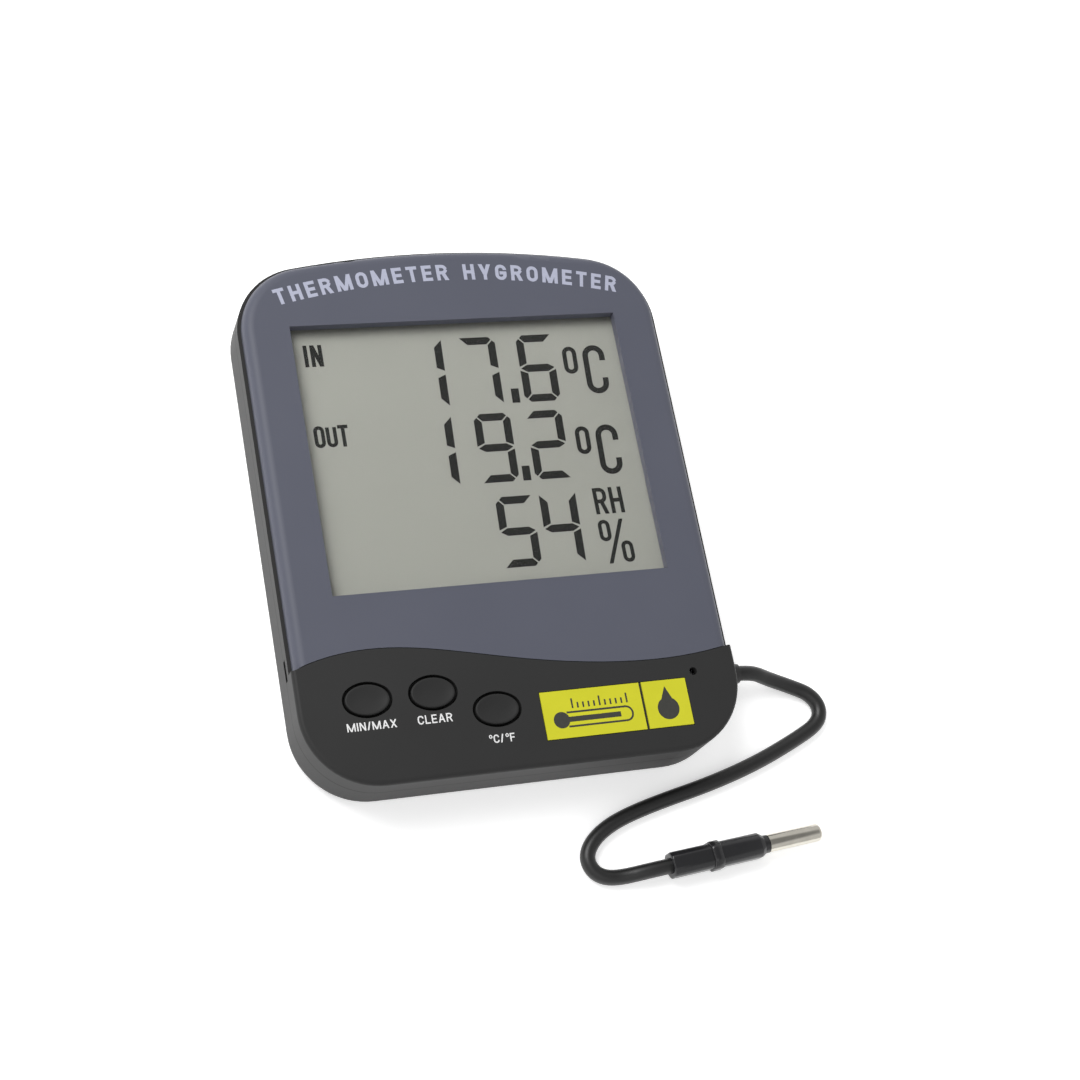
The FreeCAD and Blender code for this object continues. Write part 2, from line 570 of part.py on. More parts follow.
def window_lens():
    """The clear lens that closes the window from behind."""
    return lens_block(0, LENS_UNDER_Z, LENS_UNDER_Z + LENS_THICKNESS)


def lcd_panel():
    """The liquid crystal cell: a front glass with two contact ledges and a shorter rear glass."""
    front = box((-GLASS_X, GLASS_X), GLASS_Y, (DISPLAY_TOP_Z - GLASS, DISPLAY_TOP_Z))
    rear_y = (GLASS_Y[0] + LEDGE, GLASS_Y[1] - LEDGE)
    rear = box((-GLASS_X, GLASS_X), rear_y, (GLASS_BACK_Z, DISPLAY_TOP_Z - GLASS))
    return front.fuse(rear).removeSplitter()


def lcd_reflector():
    """The reflective sheet behind the liquid crystal cell."""
    return box((-GLASS_X + 0.5, GLASS_X - 0.5), (GLASS_Y[0] + LEDGE + 0.5, GLASS_Y[1] - LEDGE - 0.5),
               (GLASS_BACK_Z - REFLECTOR, GLASS_BACK_Z))


def lcd_frame():
    """The tray that holds the glass over the board and guides the contact strips."""
    floor_z = GLASS_BACK_Z - REFLECTOR - 0.05
    frame = plate(FRAME_X, FRAME_Y, (BOARD_TOP_Z, DISPLAY_TOP_Z - 0.1), 1.0)
    seat = box((-GLASS_X - FIT_GAP, GLASS_X + FIT_GAP), (GLASS_Y[0] - FIT_GAP, GLASS_Y[1] + FIT_GAP),
               (floor_z, DISPLAY_TOP_Z + 1))
    relief = box((-GLASS_X + 2, GLASS_X - 2), (GLASS_Y[0] + LEDGE + 2, GLASS_Y[1] - LEDGE - 2),
                 (BOARD_TOP_Z - 1, floor_z - 1.0))
    frame = frame.cut(seat).cut(relief)
    for low, high in strip_limits(FIT_GAP):
        reach = GLASS_X - STRIP_INSET + FIT_GAP
        frame = frame.cut(box((-reach, reach), (low, high), (BOARD_TOP_Z - 1, floor_z + 1)))
    return frame.removeSplitter()


def strip_limits(grow):
    """The Y limits of the two contact strips."""
    inset = (LEDGE - STRIP_WIDTH) / 2
    return [(GLASS_Y[0] + inset - grow, GLASS_Y[0] + inset + STRIP_WIDTH + grow),
            (GLASS_Y[1] - inset - STRIP_WIDTH - grow, GLASS_Y[1] - inset + grow)]


def contact_strips():
    """The two elastomer strips that carry the signals from the board to the glass."""
    reach = GLASS_X - STRIP_INSET
    height = (BOARD_TOP_Z, DISPLAY_TOP_Z - GLASS)
    return Part.makeCompound([box((-reach, reach), limits, height) for limits in strip_limits(0)])


def circuit_board():
    """The board, cut away round the battery bay and the case bosses."""
    half = FRAME_X + 2.6
    board = box((-half, half), (BASE_Y + 8.6, FRAME_Y[1] + 0.2), (BOARD_UNDER_Z, BOARD_TOP_Z))
    board = board.fuse(box((-26, 26), (FRAME_Y[1] - 2, FRAME_Y[1] + 5.8), (BOARD_UNDER_Z, BOARD_TOP_Z)))
    edge = BAY_HALF + BAY_WALL
    bay = box((-BAY_X - BAY_WALL - 0.4, BAY_X + BAY_WALL + 0.4), (CELL_Y - edge - 0.3, CELL_Y + edge + 0.2),
              (BOARD_UNDER_Z - 1, BOARD_TOP_Z + 1))
    board = board.cut(bay)
    for x, y in boss_places():
        board = board.cut(rod(BOSS_RADIUS + 1.2, (x, y), BOARD_UNDER_Z - 1, BOARD_TOP_Z + 1))
    for x, y in board_screw_places():
        board = board.cut(rod(BOARD_SCREW["shank"] + 0.15, (x, y), BOARD_UNDER_Z - 1, BOARD_TOP_Z + 1))
    return board.removeSplitter()


def chip_cover():
    """The epoxy drop over the bonded chip, on the back of the board."""
    crown = Part.makeCone(0.75 * CHIP_RADIUS, 0.35 * CHIP_RADIUS, 0.4 * CHIP_HEIGHT,
                          V(*CHIP_PLACE, BOARD_UNDER_Z - 0.6 * CHIP_HEIGHT), V(0, 0, -1))
    skirt = Part.makeCone(CHIP_RADIUS, 0.75 * CHIP_RADIUS, 0.6 * CHIP_HEIGHT,
                          V(*CHIP_PLACE, BOARD_UNDER_Z), V(0, 0, -1))
    return skirt.fuse(crown)


def board_components():
    """The clock crystal, two capacitors and a row of resistors on the back of the board."""
    pieces = [Part.makeCylinder(1.0, 6.2, V(8, 20, BOARD_UNDER_Z - 1.0), V(1, 0, 0))]
    for x in (4.0, 12.0):
        pieces.append(rod(2.0, (x, 30), WALL + RIB_HEIGHT + 0.2, BOARD_UNDER_Z))
    for index in range(6):
        x = -24 + index * 3.4
        pieces.append(box((x, x + 2.0), (34, 35.2), (BOARD_UNDER_Z - 0.5, BOARD_UNDER_Z)))
    return Part.makeCompound(pieces)


def humidity_sensor():
    """The humidity and temperature sensor, behind the small hole in the face."""
    x, y = sensor_place()
    body = box((x - 2.4, x + 2.4), (y - 2.9, y + 2.9), (BOARD_TOP_Z, BOARD_TOP_Z + 2.2))
    for offset in (-1.4, 0.0, 1.4):
        slot_y = (y + offset - 0.3, y + offset + 0.3)
        body = body.cut(box((x - 1.7, x + 1.7), slot_y, (BOARD_TOP_Z + 1.4, BOARD_TOP_Z + 3)))
    return body


def key_switch(x, y):
    """A tact switch on the board, with the well that its plunger slides in."""
    half = SWITCH_SIZE / 2
    body = box((x - half, x + half), (y - half, y + half), (BOARD_TOP_Z, SWITCH_TOP_Z))
    body = body.makeChamfer(0.6, upright_edges(body))
    well = SWITCH_TOP_Z - PLUNGER_DEPTH - BUTTON_TRAVEL - 0.2
    return body.cut(rod(PLUNGER_RADIUS + PLUNGER_GAP, (x, y), well, SWITCH_TOP_Z + 1))


def plunger_top():
    """The height of a resting plunger's top."""
    return SWITCH_TOP_Z + PLUNGER_RISE


def key_plunger(x, y):
    """The plunger of a tact switch."""
    pin = rod(PLUNGER_RADIUS, (x, y), SWITCH_TOP_Z - PLUNGER_DEPTH, plunger_top())
    return bevel_rim(pin, plunger_top(), 0.3)


def button(x, y):
    """An oval key cap, dished for the finger, with a retaining flange and a stem."""
    top = CASE_DEPTH + BUTTON_PROUD
    cap = bevel_rim(button_oval((x, y), 0, FLANGE_TOP_Z - 0.2, top), top, 0.35)
    radius = (BUTTON_LENGTH ** 2 / 4 + BUTTON_DISH ** 2) / (2 * BUTTON_DISH)
    axis_start = V(x, y - BUTTON_WIDTH, top + radius - BUTTON_DISH)
    dish = Part.makeCylinder(radius, 2 * BUTTON_WIDTH, axis_start, V(0, 1, 0))
    flange = button_oval((x, y), BUTTON_GAP + FLANGE_LAP, FLANGE_TOP_Z - BUTTON_FLANGE, FLANGE_TOP_Z)
    stem = rod(STEM_RADIUS, (x, y), plunger_top(), FLANGE_TOP_Z)
    return cap.cut(dish).fuse(flange).fuse(stem).removeSplitter()


def battery_cell():
    """An AAA cell with its positive nub towards +X."""
    left = -BAY_X + CELL_GAP + CONTACT_PLATE + SPRING_ROOM
    body_length = CELL_LENGTH - 0.8
    body = Part.makeCylinder(CELL_RADIUS, body_length, V(left, CELL_Y, CELL_Z), V(1, 0, 0))
    ends = [e for e in body.Edges if e.BoundBox.XLength < 1e-6]
    body = body.makeChamfer(0.4, ends)
    nub = Part.makeCylinder(1.9, 1.2, V(left + body_length - 0.4, CELL_Y, CELL_Z), V(1, 0, 0))
    return body.fuse(nub).removeSplitter()


def contact_plate(x):
    """A plated contact that stands at one end of the bay."""
    return box((x, x + CONTACT_PLATE), (CELL_Y - 4, CELL_Y + 4), (CELL_Z - 4.5, CELL_Z + 3.2))


def positive_contact():
    """The positive contact, dimpled towards the cell's nub."""
    x = BAY_X - CONTACT_PLATE
    reach = x - (-BAY_X + CELL_GAP + CONTACT_PLATE + SPRING_ROOM + CELL_LENGTH)
    dimple = Part.makeCylinder(1.5, reach, V(x - reach, CELL_Y, CELL_Z), V(1, 0, 0))
    return contact_plate(x).fuse(dimple).removeSplitter()


def negative_contact():
    """The negative contact: a plate with a conical coil spring that bears on the cell."""
    half = SPRING_WIRE / 2
    start = -BAY_X + CONTACT_PLATE + half / 2
    end = -BAY_X + CELL_GAP + CONTACT_PLATE + SPRING_ROOM - half
    taper = -math.degrees(math.atan(SPRING_TAPER / (end - start)))
    helix = Part.makeHelix((end - start) / SPRING_TURNS, end - start, SPRING_RADIUS, taper)
    near, far = SPRING_RADIUS - half, SPRING_RADIUS + half
    corners = [V(near, 0, -half), V(far, 0, -half), V(far, 0, half), V(near, 0, half)]
    profile = Part.makePolygon(corners + [corners[0]])
    coil = Part.Wire(helix.Edges).makePipeShell([profile], True, True)
    coil.rotate(V(0, 0, 0), V(0, 1, 0), 90)
    coil.translate(V(start, CELL_Y, CELL_Z))
    return contact_plate(-BAY_X).fuse(coil)


def rounded_path(points):
    """Straight runs joined by tangent arcs, as large as the runs beside each corner allow."""
    edges = []
    radii = []
    start = points[0]
    for before, corner, after in zip(points, points[1:], points[2:]):
        back, ahead = before - corner, after - corner
        shorter = min(back.Length, ahead.Length)
        turn = math.pi - back.getAngle(ahead)
        cut = 0.45 * shorter
        radius = cut / math.tan(turn / 2)
        back.normalize()
        ahead.normalize()
        first, last = corner + back * cut, corner + ahead * cut
        inward = (back + ahead).normalize()
        middle = corner + inward * (radius / math.cos(turn / 2) - radius)
        edges.append(Part.LineSegment(start, first).toShape())
        edges.append(Part.Arc(first, middle, last).toShape())
        radii.append(radius)
        start = last
    edges.append(Part.LineSegment(start, points[-1]).toShape())
    return Part.Wire(edges), radii


def tube(points, radius, name):
    """A round cord along a rounded path."""
    path, radii = rounded_path(points)
    direction = points[1] - points[0]
    profile = Part.Wire(Part.makeCircle(radius, points[0], direction))
    cord = path.makePipeShell([profile], True, True)
    expected = math.pi * radius ** 2 * path.Length
    print(name, "length %.1f" % path.Length, "volume %.0f of %.0f" % (cord.Volume, expected))
    print(name, "radii", " ".join("%.1f" % r for r in radii))
    return cord


def probe_cord():
    """The probe's cord, from its grommet to the probe's boot."""
    turn = math.radians(PROBE_TURN)
    behind_boot = PROBE_START - V(math.cos(turn), math.sin(turn), 0) * 4.5
    points = [CORD_EXIT] + [V(x, BASE_Y + y, z) for x, y, z in CORD_ROUTE] + [behind_boot, PROBE_START]
    return tube(points, CORD_RADIUS, "probe cord")


def cord_grommet(grow=0.0):
    """The strain relief moulded on the cord, which snaps into the rear cover's side."""
    wall_in = HALF_WIDTH - WALL
    radii = ((wall_in - 1.2 - grow, 3.1 + grow), (wall_in, 3.1 + grow), (wall_in, 2.4 + grow),
             (HALF_WIDTH, 2.4 + grow), (HALF_WIDTH, 2.9), (HALF_WIDTH + 1.2, 2.9), (CORD_EXIT.x, 2.1))
    y, z = CORD_EXIT.y, CORD_EXIT.z
    corners = [V(radii[0][0], y, z)] + [V(x, y, z + r) for x, r in radii] + [V(radii[-1][0], y, z)]
    body = Part.Face(Part.makePolygon(corners + [corners[0]])).revolve(V(0, y, z), V(1, 0, 0), 360)
    return body


def probe_leads():
    """The probe's two insulated cores, from the grommet to the board."""
    cores = []
    reach = HALF_WIDTH - WALL - 1.2 - (FRAME_X - 3.0)
    for offset in (-0.8, 0.8):
        end = V(FRAME_X - 3.0, CORD_EXIT.y + offset, CORD_Z)
        across = Part.makeCylinder(LEAD_RADIUS, reach, end, V(1, 0, 0))
        up = Part.makeCylinder(LEAD_RADIUS, BOARD_UNDER_Z - CORD_Z, end, V(0, 0, 1))
        cores.append(across.fuse(up))
    return Part.makeCompound(cores)


def place_probe(solid):
    """Lays a solid made along +X from the origin where the probe rests."""
    solid.rotate(V(0, 0, 0), V(0, 0, 1), PROBE_TURN)
    solid.translate(PROBE_START)
    return solid


def revolve_x(profile):
    """A turned solid about X from (x, radius) pairs that start and end on the axis."""
    corners = [V(x, 0, r) for x, r in profile]
    return Part.Face(Part.makePolygon(corners + [corners[0]])).revolve(V(0, 0, 0), V(1, 0, 0), 360)


def probe_boot():
    """The boot that seals the sensor: flat sides, a raised collar and a bevelled nose."""
    nose = BOOT_LENGTH - 1.4
    body = revolve_x(((0, 0), (0, BOOT_RADIUS - 0.2), (0.2, BOOT_RADIUS), (nose - 1.0, BOOT_RADIUS),
                      (nose, BOOT_RADIUS - 0.7), (nose, TIP_RADIUS), (BOOT_LENGTH, TIP_RADIUS - 0.25),
                      (BOOT_LENGTH, 0)))
    body = body.common(box((-1, BOOT_LENGTH + 1), (-BOOT_FLAT, BOOT_FLAT), (-BOOT_FLAT, BOOT_FLAT)))
    finish = COLLAR_START + COLLAR_WIDTH
    band = revolve_x(((COLLAR_START, 0), (COLLAR_START, COLLAR_RADIUS), (finish, COLLAR_RADIUS), (finish, 0)))
    reach = BOOT_FLAT + COLLAR_RADIUS - BOOT_RADIUS
    band = band.common(box((-1, BOOT_LENGTH), (-reach, reach), (-COLLAR_RADIUS, reach)))
    return place_probe(body.fuse(band).removeSplitter())


def probe_tip():
    """The plated metal cap over the sensor."""
    end = BOOT_LENGTH + TIP_LENGTH
    tip = Part.makeCylinder(TIP_RADIUS, TIP_LENGTH, V(BOOT_LENGTH, 0, 0), V(1, 0, 0))
    rim = [e for e in tip.Edges if abs(e.BoundBox.XMin - end) < 1e-4]
    return place_probe(tip.makeChamfer(0.5, rim))


def case_screws():
    """The four screws that close the case from behind."""
    return Part.makeCompound([screw(CASE_SCREW, place, CASE_SCREW["recess"]) for place in boss_places()])


def board_screws():
    """The four small screws that hold the board to the front shell."""
    return Part.makeCompound([screw(BOARD_SCREW, place, BOARD_UNDER_Z) for place in board_screw_places()])


def all_nodes():
    """Every separate piece by name."""
    nodes = {
        "rear_cover": rear_cover(),
        "front_shell": front_shell(),
        "fascia": fascia(),
        "window_lens": window_lens(),
        "lcd_panel": lcd_panel(),
        "lcd_reflector": lcd_reflector(),
        "lcd_frame": lcd_frame(),
        "contact_strips": contact_strips(),
        "circuit_board": circuit_board(),
        "chip_cover": chip_cover(),
        "board_components": board_components(),
        "humidity_sensor": humidity_sensor(),
        "label_plates": label_plates(),
        "battery_door": battery_door(),
        "battery_cell": battery_cell(),
        "battery_contact_positive": positive_contact(),
        "battery_spring_negative": negative_contact(),
        "stand": stand(),
        "case_screws": case_screws(),
        "board_screws": board_screws(),
        "cord_grommet": cord_grommet(),
        "probe_leads": probe_leads(),
        "probe_cord": probe_cord(),
        "probe_boot": probe_boot(),
        "probe_tip": probe_tip(),
    }
    for name, (x, y) in zip(BUTTONS, button_places()):
        nodes["button_" + name] = button(x, y)
        nodes["switch_" + name] = key_switch(x, y)
        nodes["plunger_" + name] = key_plunger(x, y)
    return nodes


for node, shape in all_nodes().items():
    shape.exportStep("parts/%s.step" % node)
    print(node, "solids", len(shape.Solids), "volume %.1f" % shape.Volume, "valid", shape.isValid())
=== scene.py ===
import math

import bmesh
import bpy
from mathutils import Matrix, Quaternion, Vector, geometry


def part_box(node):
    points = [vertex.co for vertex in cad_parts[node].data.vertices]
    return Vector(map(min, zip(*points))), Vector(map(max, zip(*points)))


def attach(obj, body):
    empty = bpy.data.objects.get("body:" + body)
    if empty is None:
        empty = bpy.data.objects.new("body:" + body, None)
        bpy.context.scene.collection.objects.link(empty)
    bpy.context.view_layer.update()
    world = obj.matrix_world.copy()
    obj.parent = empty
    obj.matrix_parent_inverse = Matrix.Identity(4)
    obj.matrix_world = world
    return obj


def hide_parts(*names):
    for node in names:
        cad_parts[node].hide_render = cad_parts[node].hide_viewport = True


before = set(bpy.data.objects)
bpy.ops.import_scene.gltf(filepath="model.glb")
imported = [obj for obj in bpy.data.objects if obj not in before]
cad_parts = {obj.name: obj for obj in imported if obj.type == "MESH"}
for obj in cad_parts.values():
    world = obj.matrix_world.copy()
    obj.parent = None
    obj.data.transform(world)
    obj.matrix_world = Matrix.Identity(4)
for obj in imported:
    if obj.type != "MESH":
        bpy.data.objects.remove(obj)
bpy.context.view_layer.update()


# ---- camera --------------------------------------------------------------------------------
# The instrument lies on its back with its display up. The camera looks down on it from the lower
# left corner, with some roll, so that it shows the face, the left side and the near side.
MM = 0.001
camera_azimuth = math.radians(-45.14)
camera_elevation = math.radians(63.23)
camera_roll = math.radians(37.34)
camera_distance = 439.6 * MM
camera_target = Vector((9.45, -10.86, 17.0)) * MM
camera_back = Vector((math.sin(camera_azimuth) * math.cos(camera_elevation),
                      -math.cos(camera_azimuth) * math.cos(camera_elevation),
                      math.sin(camera_elevation)))

camera_data = bpy.data.cameras.new("camera")
camera_data.lens = 69.31
camera_data.sensor_width = 36.0
camera_data.clip_start = 0.01
camera = bpy.data.objects.new("camera", camera_data)
camera.location = camera_target + camera_back * camera_distance
camera.rotation_mode = "QUATERNION"
camera.rotation_quaternion = camera_back.to_track_quat("Z", "Y") @ Quaternion((0, 0, 1), camera_roll)
bpy.context.collection.objects.link(camera)
bpy.context.scene.camera = camera
bpy.context.scene.view_settings.view_transform = "Standard"


# ---- light ---------------------------------------------------------------------------------
# Two soft boxes stand in a white studio: one at the upper left, which tones the fascia from left to
# right, and a weak one near the camera. The ceiling is dimmer than the walls, which keeps glare off
# the display's window and leaves a darker streak on the probe's metal cap.
def soft_box(name, spot, size, power):
    """A square area light at a place in metres that faces the middle of the instrument."""
    data = bpy.data.lights.new(name, "AREA")
    data.size = size
    data.energy = power
    light = bpy.data.objects.new(name, data)
    light.location = spot
    light.rotation_mode = "QUATERNION"
    light.rotation_quaternion = Vector(spot).to_track_quat("Z", "Y")
    bpy.context.collection.objects.link(light)


soft_box("left soft box", (-0.32, 0.30, 0.58), 0.45, 4.2)
soft_box("near soft box", (-0.20, -0.45, 0.95), 0.7, 1.2)

wall_strength = 0.75
ceiling_strength = 0.28
ceiling_starts = 0.70
ceiling_full = 0.87
world = bpy.data.worlds.new("white studio")
bpy.context.scene.world = world
world.use_nodes = True
sky = world.node_tree
sky_direction = sky.nodes.new("ShaderNodeTexCoord")
sky_height = sky.nodes.new("ShaderNodeSeparateXYZ")
sky_fade = sky.nodes.new("ShaderNodeMapRange")
sky_fade.inputs["From Min"].default_value = ceiling_starts
sky_fade.inputs["From Max"].default_value = ceiling_full
sky_fade.inputs["To Min"].default_value = wall_strength
sky_fade.inputs["To Max"].default_value = ceiling_strength
sky.links.new(sky_direction.outputs["Generated"], sky_height.inputs[0])
sky.links.new(sky_height.outputs["Z"], sky_fade.inputs["Value"])
sky.links.new(sky_fade.outputs["Result"], sky.nodes["Background"].inputs["Strength"])
sky.nodes["Background"].inputs["Color"].default_value = (1.0, 1.0, 1.0, 1.0)


# ---- table top -----------------------------------------------------------------------------
# A matt white laminate, which also gives off a little light, so that it stays white right up to the
# case and lights the case's sides. It lies a hair under the case's back, so the two never coincide.
def linear(hex_colour):
    """A colour given as sRGB hex, such as "#5a5c66", as linear RGBA."""
    values = [int(hex_colour[i:i + 2], 16) / 255 for i in (1, 3, 5)]
    return [v / 12.92 if v <= 0.04045 else ((v + 0.055) / 1.055) ** 2.4 for v in values] + [1.0]


def add(material, kind, inputs=(), colours=(), **settings):
    """Adds a node: an input takes a value or another node's socket, a ramp's stops take hex colours."""
    node = material.node_tree.nodes.new(kind)
    for name, value in settings.items():
        setattr(node, name, value)
    for name, value in dict(inputs).items():
        if isinstance(value, bpy.types.NodeSocket):
            material.node_tree.links.new(value, node.inputs[name])
        else:
            node.inputs[name].default_value = value
    for index, colour in enumerate(colours):
        node.color_ramp.elements[index].color = linear(colour)
    return node


def surface(name, **inputs):
    """A material with one Principled shader; specular_ior_level stands for Specular IOR Level, and so on."""
    material = bpy.data.materials.new(name)
    material.use_nodes = True
    shader = material.node_tree.nodes["Principled BSDF"]
    for key, value in inputs.items():
        shader.inputs[key.replace("_", " ").title().replace("Ior", "IOR")].default_value = value
    return material, shader


def over(material, size):
    """The point in the piece's own frame, scaled so that one unit is size millimetres."""
    point = add(material, "ShaderNodeTexCoord").outputs["Object"]
    scaled = add(material, "ShaderNodeVectorMath", {"Vector": point, "Scale": 1.0 / (size * MM)},
                 operation="SCALE")
    return scaled.outputs[0]


def join(material, output, shader, name):
    """Links a node's socket to one of the shader's inputs."""
    material.node_tree.links.new(output, shader.inputs[name])


# the laminate is even and dull: the eye only gets a clean white with no mirror image
laminate, laminate_shader = surface("matt white laminate", roughness=0.65)
shade = add(laminate, "ShaderNodeTexNoise", {"Vector": over(laminate, 120.0), "Scale": 1.0, "Detail": 2.0})
laminate_tone = add(laminate, "ShaderNodeValToRGB", {"Fac": shade.outputs["Fac"]}, ("#fafafa", "#ffffff"))
join(laminate, laminate_tone.outputs["Color"], laminate_shader, "Base Color")
laminate_shader.inputs["Emission Color"].default_value = (1.0, 1.0, 1.0, 1.0)
laminate_shader.inputs["Emission Strength"].default_value = 0.42

table_width = 6.0
table_drop = 0.02 * MM
bpy.ops.mesh.primitive_plane_add(size=table_width, location=(0, 0, -table_drop))
table_top = bpy.context.object
table_top.name = "table_top"
table_top.data.materials.append(laminate)


# ---- probe cord ----------------------------------------------------------------------------
# A two core sensor lead in a soft vinyl jacket, drawn matt by the extruder. It leaves the rear
# cover's right side, drops to the table, and comes round in a loose bend to the probe's boot.
cord_diameter = 3.3 * MM
case_base_y = -59.5
cord_points = (
    (52.5, 18.2, 5.6), (55.9, 18.2, 5.6), (60.4, 16.9, 3.3), (66.2, 15.0, 1.67), (70.2, 12.9, 1.67),
    (72.0, 9.6, 1.67), (70.7, 6.1, 1.67), (64.9, 3.2, 1.67), (54.2, -1.1, 1.67), (42.2, -4.5, 1.67),
    (30.2, -6.9, 1.67), (21.0, -9.3, 1.67), (15.8, -11.7, 1.67), (12.7, -14.4, 1.67), (11.5, -17.2, 1.67),
    (12.5, -20.0, 1.67), (14.9, -21.5, 1.67), (18.6, -21.8, 1.67), (24.32, -21.48, 3.4), (28.8, -21.1, 3.4),
)
cord_route = [Vector((x, case_base_y + y, z)) * MM for x, y, z in cord_points]

# the jacket is a dull black whose round shows as one soft highlight along the cord; its real texture
# is too fine to show, so the mottle is drawn at 1.2 mm
jacket, jacket_shader = surface("extruded matt vinyl", roughness=0.42, ior=1.52)
mottle = add(jacket, "ShaderNodeTexNoise", {"Vector": over(jacket, 1.2), "Scale": 1.0, "Detail": 4.0})
jacket_tone = add(jacket, "ShaderNodeValToRGB", {"Fac": mottle.outputs["Fac"]}, ("#121212", "#191919"))
join(jacket, jacket_tone.outputs["Color"], jacket_shader, "Base Color")
drawn = add(jacket, "ShaderNodeBump", {"Height": mottle.outputs["Fac"], "Strength": 0.35,
                                       "Distance": 0.02 * MM})
join(jacket, drawn.outputs["Normal"], jacket_shader, "Normal")

cord_curve = bpy.data.curves.new("probe_lead", "CURVE")
cord_curve.dimensions = "3D"
cord_curve.bevel_depth = cord_diameter / 2
cord_curve.bevel_resolution = 8
cord_curve.resolution_u = 16
cord_curve.use_fill_caps = True
spline = cord_curve.splines.new("NURBS")
spline.points.add(len(cord_route) - 1)
for point, spot in zip(spline.points, cord_route):
    point.co = (*spot, 1.0)
spline.order_u = 3
spline.use_endpoint_u = True
probe_lead = bpy.data.objects.new("probe_lead", cord_curve)
bpy.context.collection.objects.link(probe_lead)
cord_curve.materials.append(jacket)
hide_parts("probe_cord")
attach(probe_lead, "case")


# ---- strain relief -------------------------------------------------------------------------
# A short tapered sleeve, moulded on the cord in the same vinyl. Its waist snaps into the wall of
# the rear cover, so a pull on the cord never reaches the solder joints.
def finish_in(material, *names):
    """Gives CAD nodes a material."""
    for name in names:
        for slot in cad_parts[name].material_slots:
            slot.material = material


finish_in(jacket, "cord_grommet")


# ---- probe boot ----------------------------------------------------------------------------
# The glossy black overmoulding that seals the lead to the sensor. It is round with four flats, has
# a raised collar to grip it by, and narrows to a short neck round the metal cap.
boot_length = 23.0
boot_radius = 2.95
boot_flat = 2.65
boot_edge = 0.35
collar_start = 9.2
collar_end = 11.4
collar_radius = 3.33
collar_edge = 0.15
collar_step = 0.02
nose_length = 1.4
neck_radius = 2.3
tip_radius = 1.95
points_around = 64
sharp_angle = math.radians(50)
probe_start = cord_route[-1]
tip_low, tip_high = [Vector(corner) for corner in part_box("probe_tip")]
probe_heading = ((tip_low + tip_high) / 2 - probe_start).normalized()
probe_frame = Matrix.Translation(probe_start) @ probe_heading.to_track_quat("X", "Z").to_matrix().to_4x4()


def loft(name, rings, material):
    """A closed mesh through rings of points, all with the same count, capped at both ends."""
    mesh = bpy.data.meshes.new(name)
    shape = bmesh.new()
    rows = [[shape.verts.new(spot) for spot in ring] for ring in rings]
    for low, high in zip(rows, rows[1:]):
        for i in range(len(low)):
            j = (i + 1) % len(low)
            shape.faces.new((low[i], low[j], high[j], high[i]))
    shape.faces.new(reversed(rows[0]))
    shape.faces.new(rows[-1])
    bmesh.ops.recalc_face_normals(shape, faces=shape.faces)
    shape.to_mesh(mesh)
    shape.free()
    mesh.shade_smooth()
    mesh.set_sharp_from_angle(angle=sharp_angle)
    mesh.materials.append(material)
    piece = bpy.data.objects.new(name, mesh)
    bpy.context.collection.objects.link(piece)
    return piece


def probe_ring(along, radius, flat):
    """A ring across the probe's axis, round with four flats."""
    ring = []
    for step in range(points_around):
        angle = 2 * math.pi * step / points_around
        reach = min(radius, flat / max(abs(math.cos(angle)), abs(math.sin(angle))))
        spot = Vector((along, reach * math.cos(angle), reach * math.sin(angle)))
        ring.append(probe_frame @ (spot * MM))
    return ring


# a polished mould gives the boot its gloss, and the slow waves of shrinkage break the highlight
gloss_vinyl, gloss_vinyl_shader = surface("glossy moulded vinyl", roughness=0.22, ior=1.52)
sink = add(gloss_vinyl, "ShaderNodeTexNoise", {"Vector": over(gloss_vinyl, 3.0), "Scale": 1.0,
                                               "Detail": 3.0})
gloss_vinyl_tone = add(gloss_vinyl, "ShaderNodeValToRGB", {"Fac": sink.outputs["Fac"]},
                       ("#1a1a1c", "#222224"))
join(gloss_vinyl, gloss_vinyl_tone.outputs["Color"], gloss_vinyl_shader, "Base Color")
sunk = add(gloss_vinyl, "ShaderNodeBump", {"Height": sink.outputs["Fac"], "Strength": 0.4,
                                           "Distance": 0.04 * MM})
join(gloss_vinyl, sunk.outputs["Normal"], gloss_vinyl_shader, "Normal")

nose = boot_length - nose_length
crest = collar_radius - collar_edge
crest_flat = boot_flat + 0.25
collar_flat = boot_flat + 0.38
# each ring: how far along the boot it stands, its radius, and how far out its flats are
boot_profile = (
    (0.0, 2.2, 2.0),
    (0.0, 2.6, 2.4),
    (0.12, 2.85, 2.58),
    (boot_edge, boot_radius, boot_flat),
    (collar_start - collar_step, boot_radius, boot_flat),
    (collar_start, crest, crest_flat),
    (collar_start + collar_edge, collar_radius, collar_flat),
    (collar_end - collar_edge, collar_radius, collar_flat),
    (collar_end, crest, crest_flat),
    (collar_end + collar_step, boot_radius, boot_flat),
    (nose - 1.1, boot_radius, boot_flat),
    (nose - 0.85, boot_radius - 0.12, boot_flat - 0.02),
    (nose, neck_radius, neck_radius),
    (nose + collar_step, tip_radius + 0.05, neck_radius),
    (boot_length - 0.1, tip_radius, neck_radius),
    (boot_length, tip_radius - 0.15, neck_radius),
)
boot = loft("probe_boot_moulding", [probe_ring(*row) for row in boot_profile], gloss_vinyl)
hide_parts("probe_boot")
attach(boot, "case")


# ---- probe cap -----------------------------------------------------------------------------
# A deep drawn brass cap over the sensor, polished and nickel plated, with a rounded end. The boot's
# neck holds it by its open end.
tip_length = 12.6
tip_rounding = 0.9
rim_bevel = 0.04
no_flat = 9.0

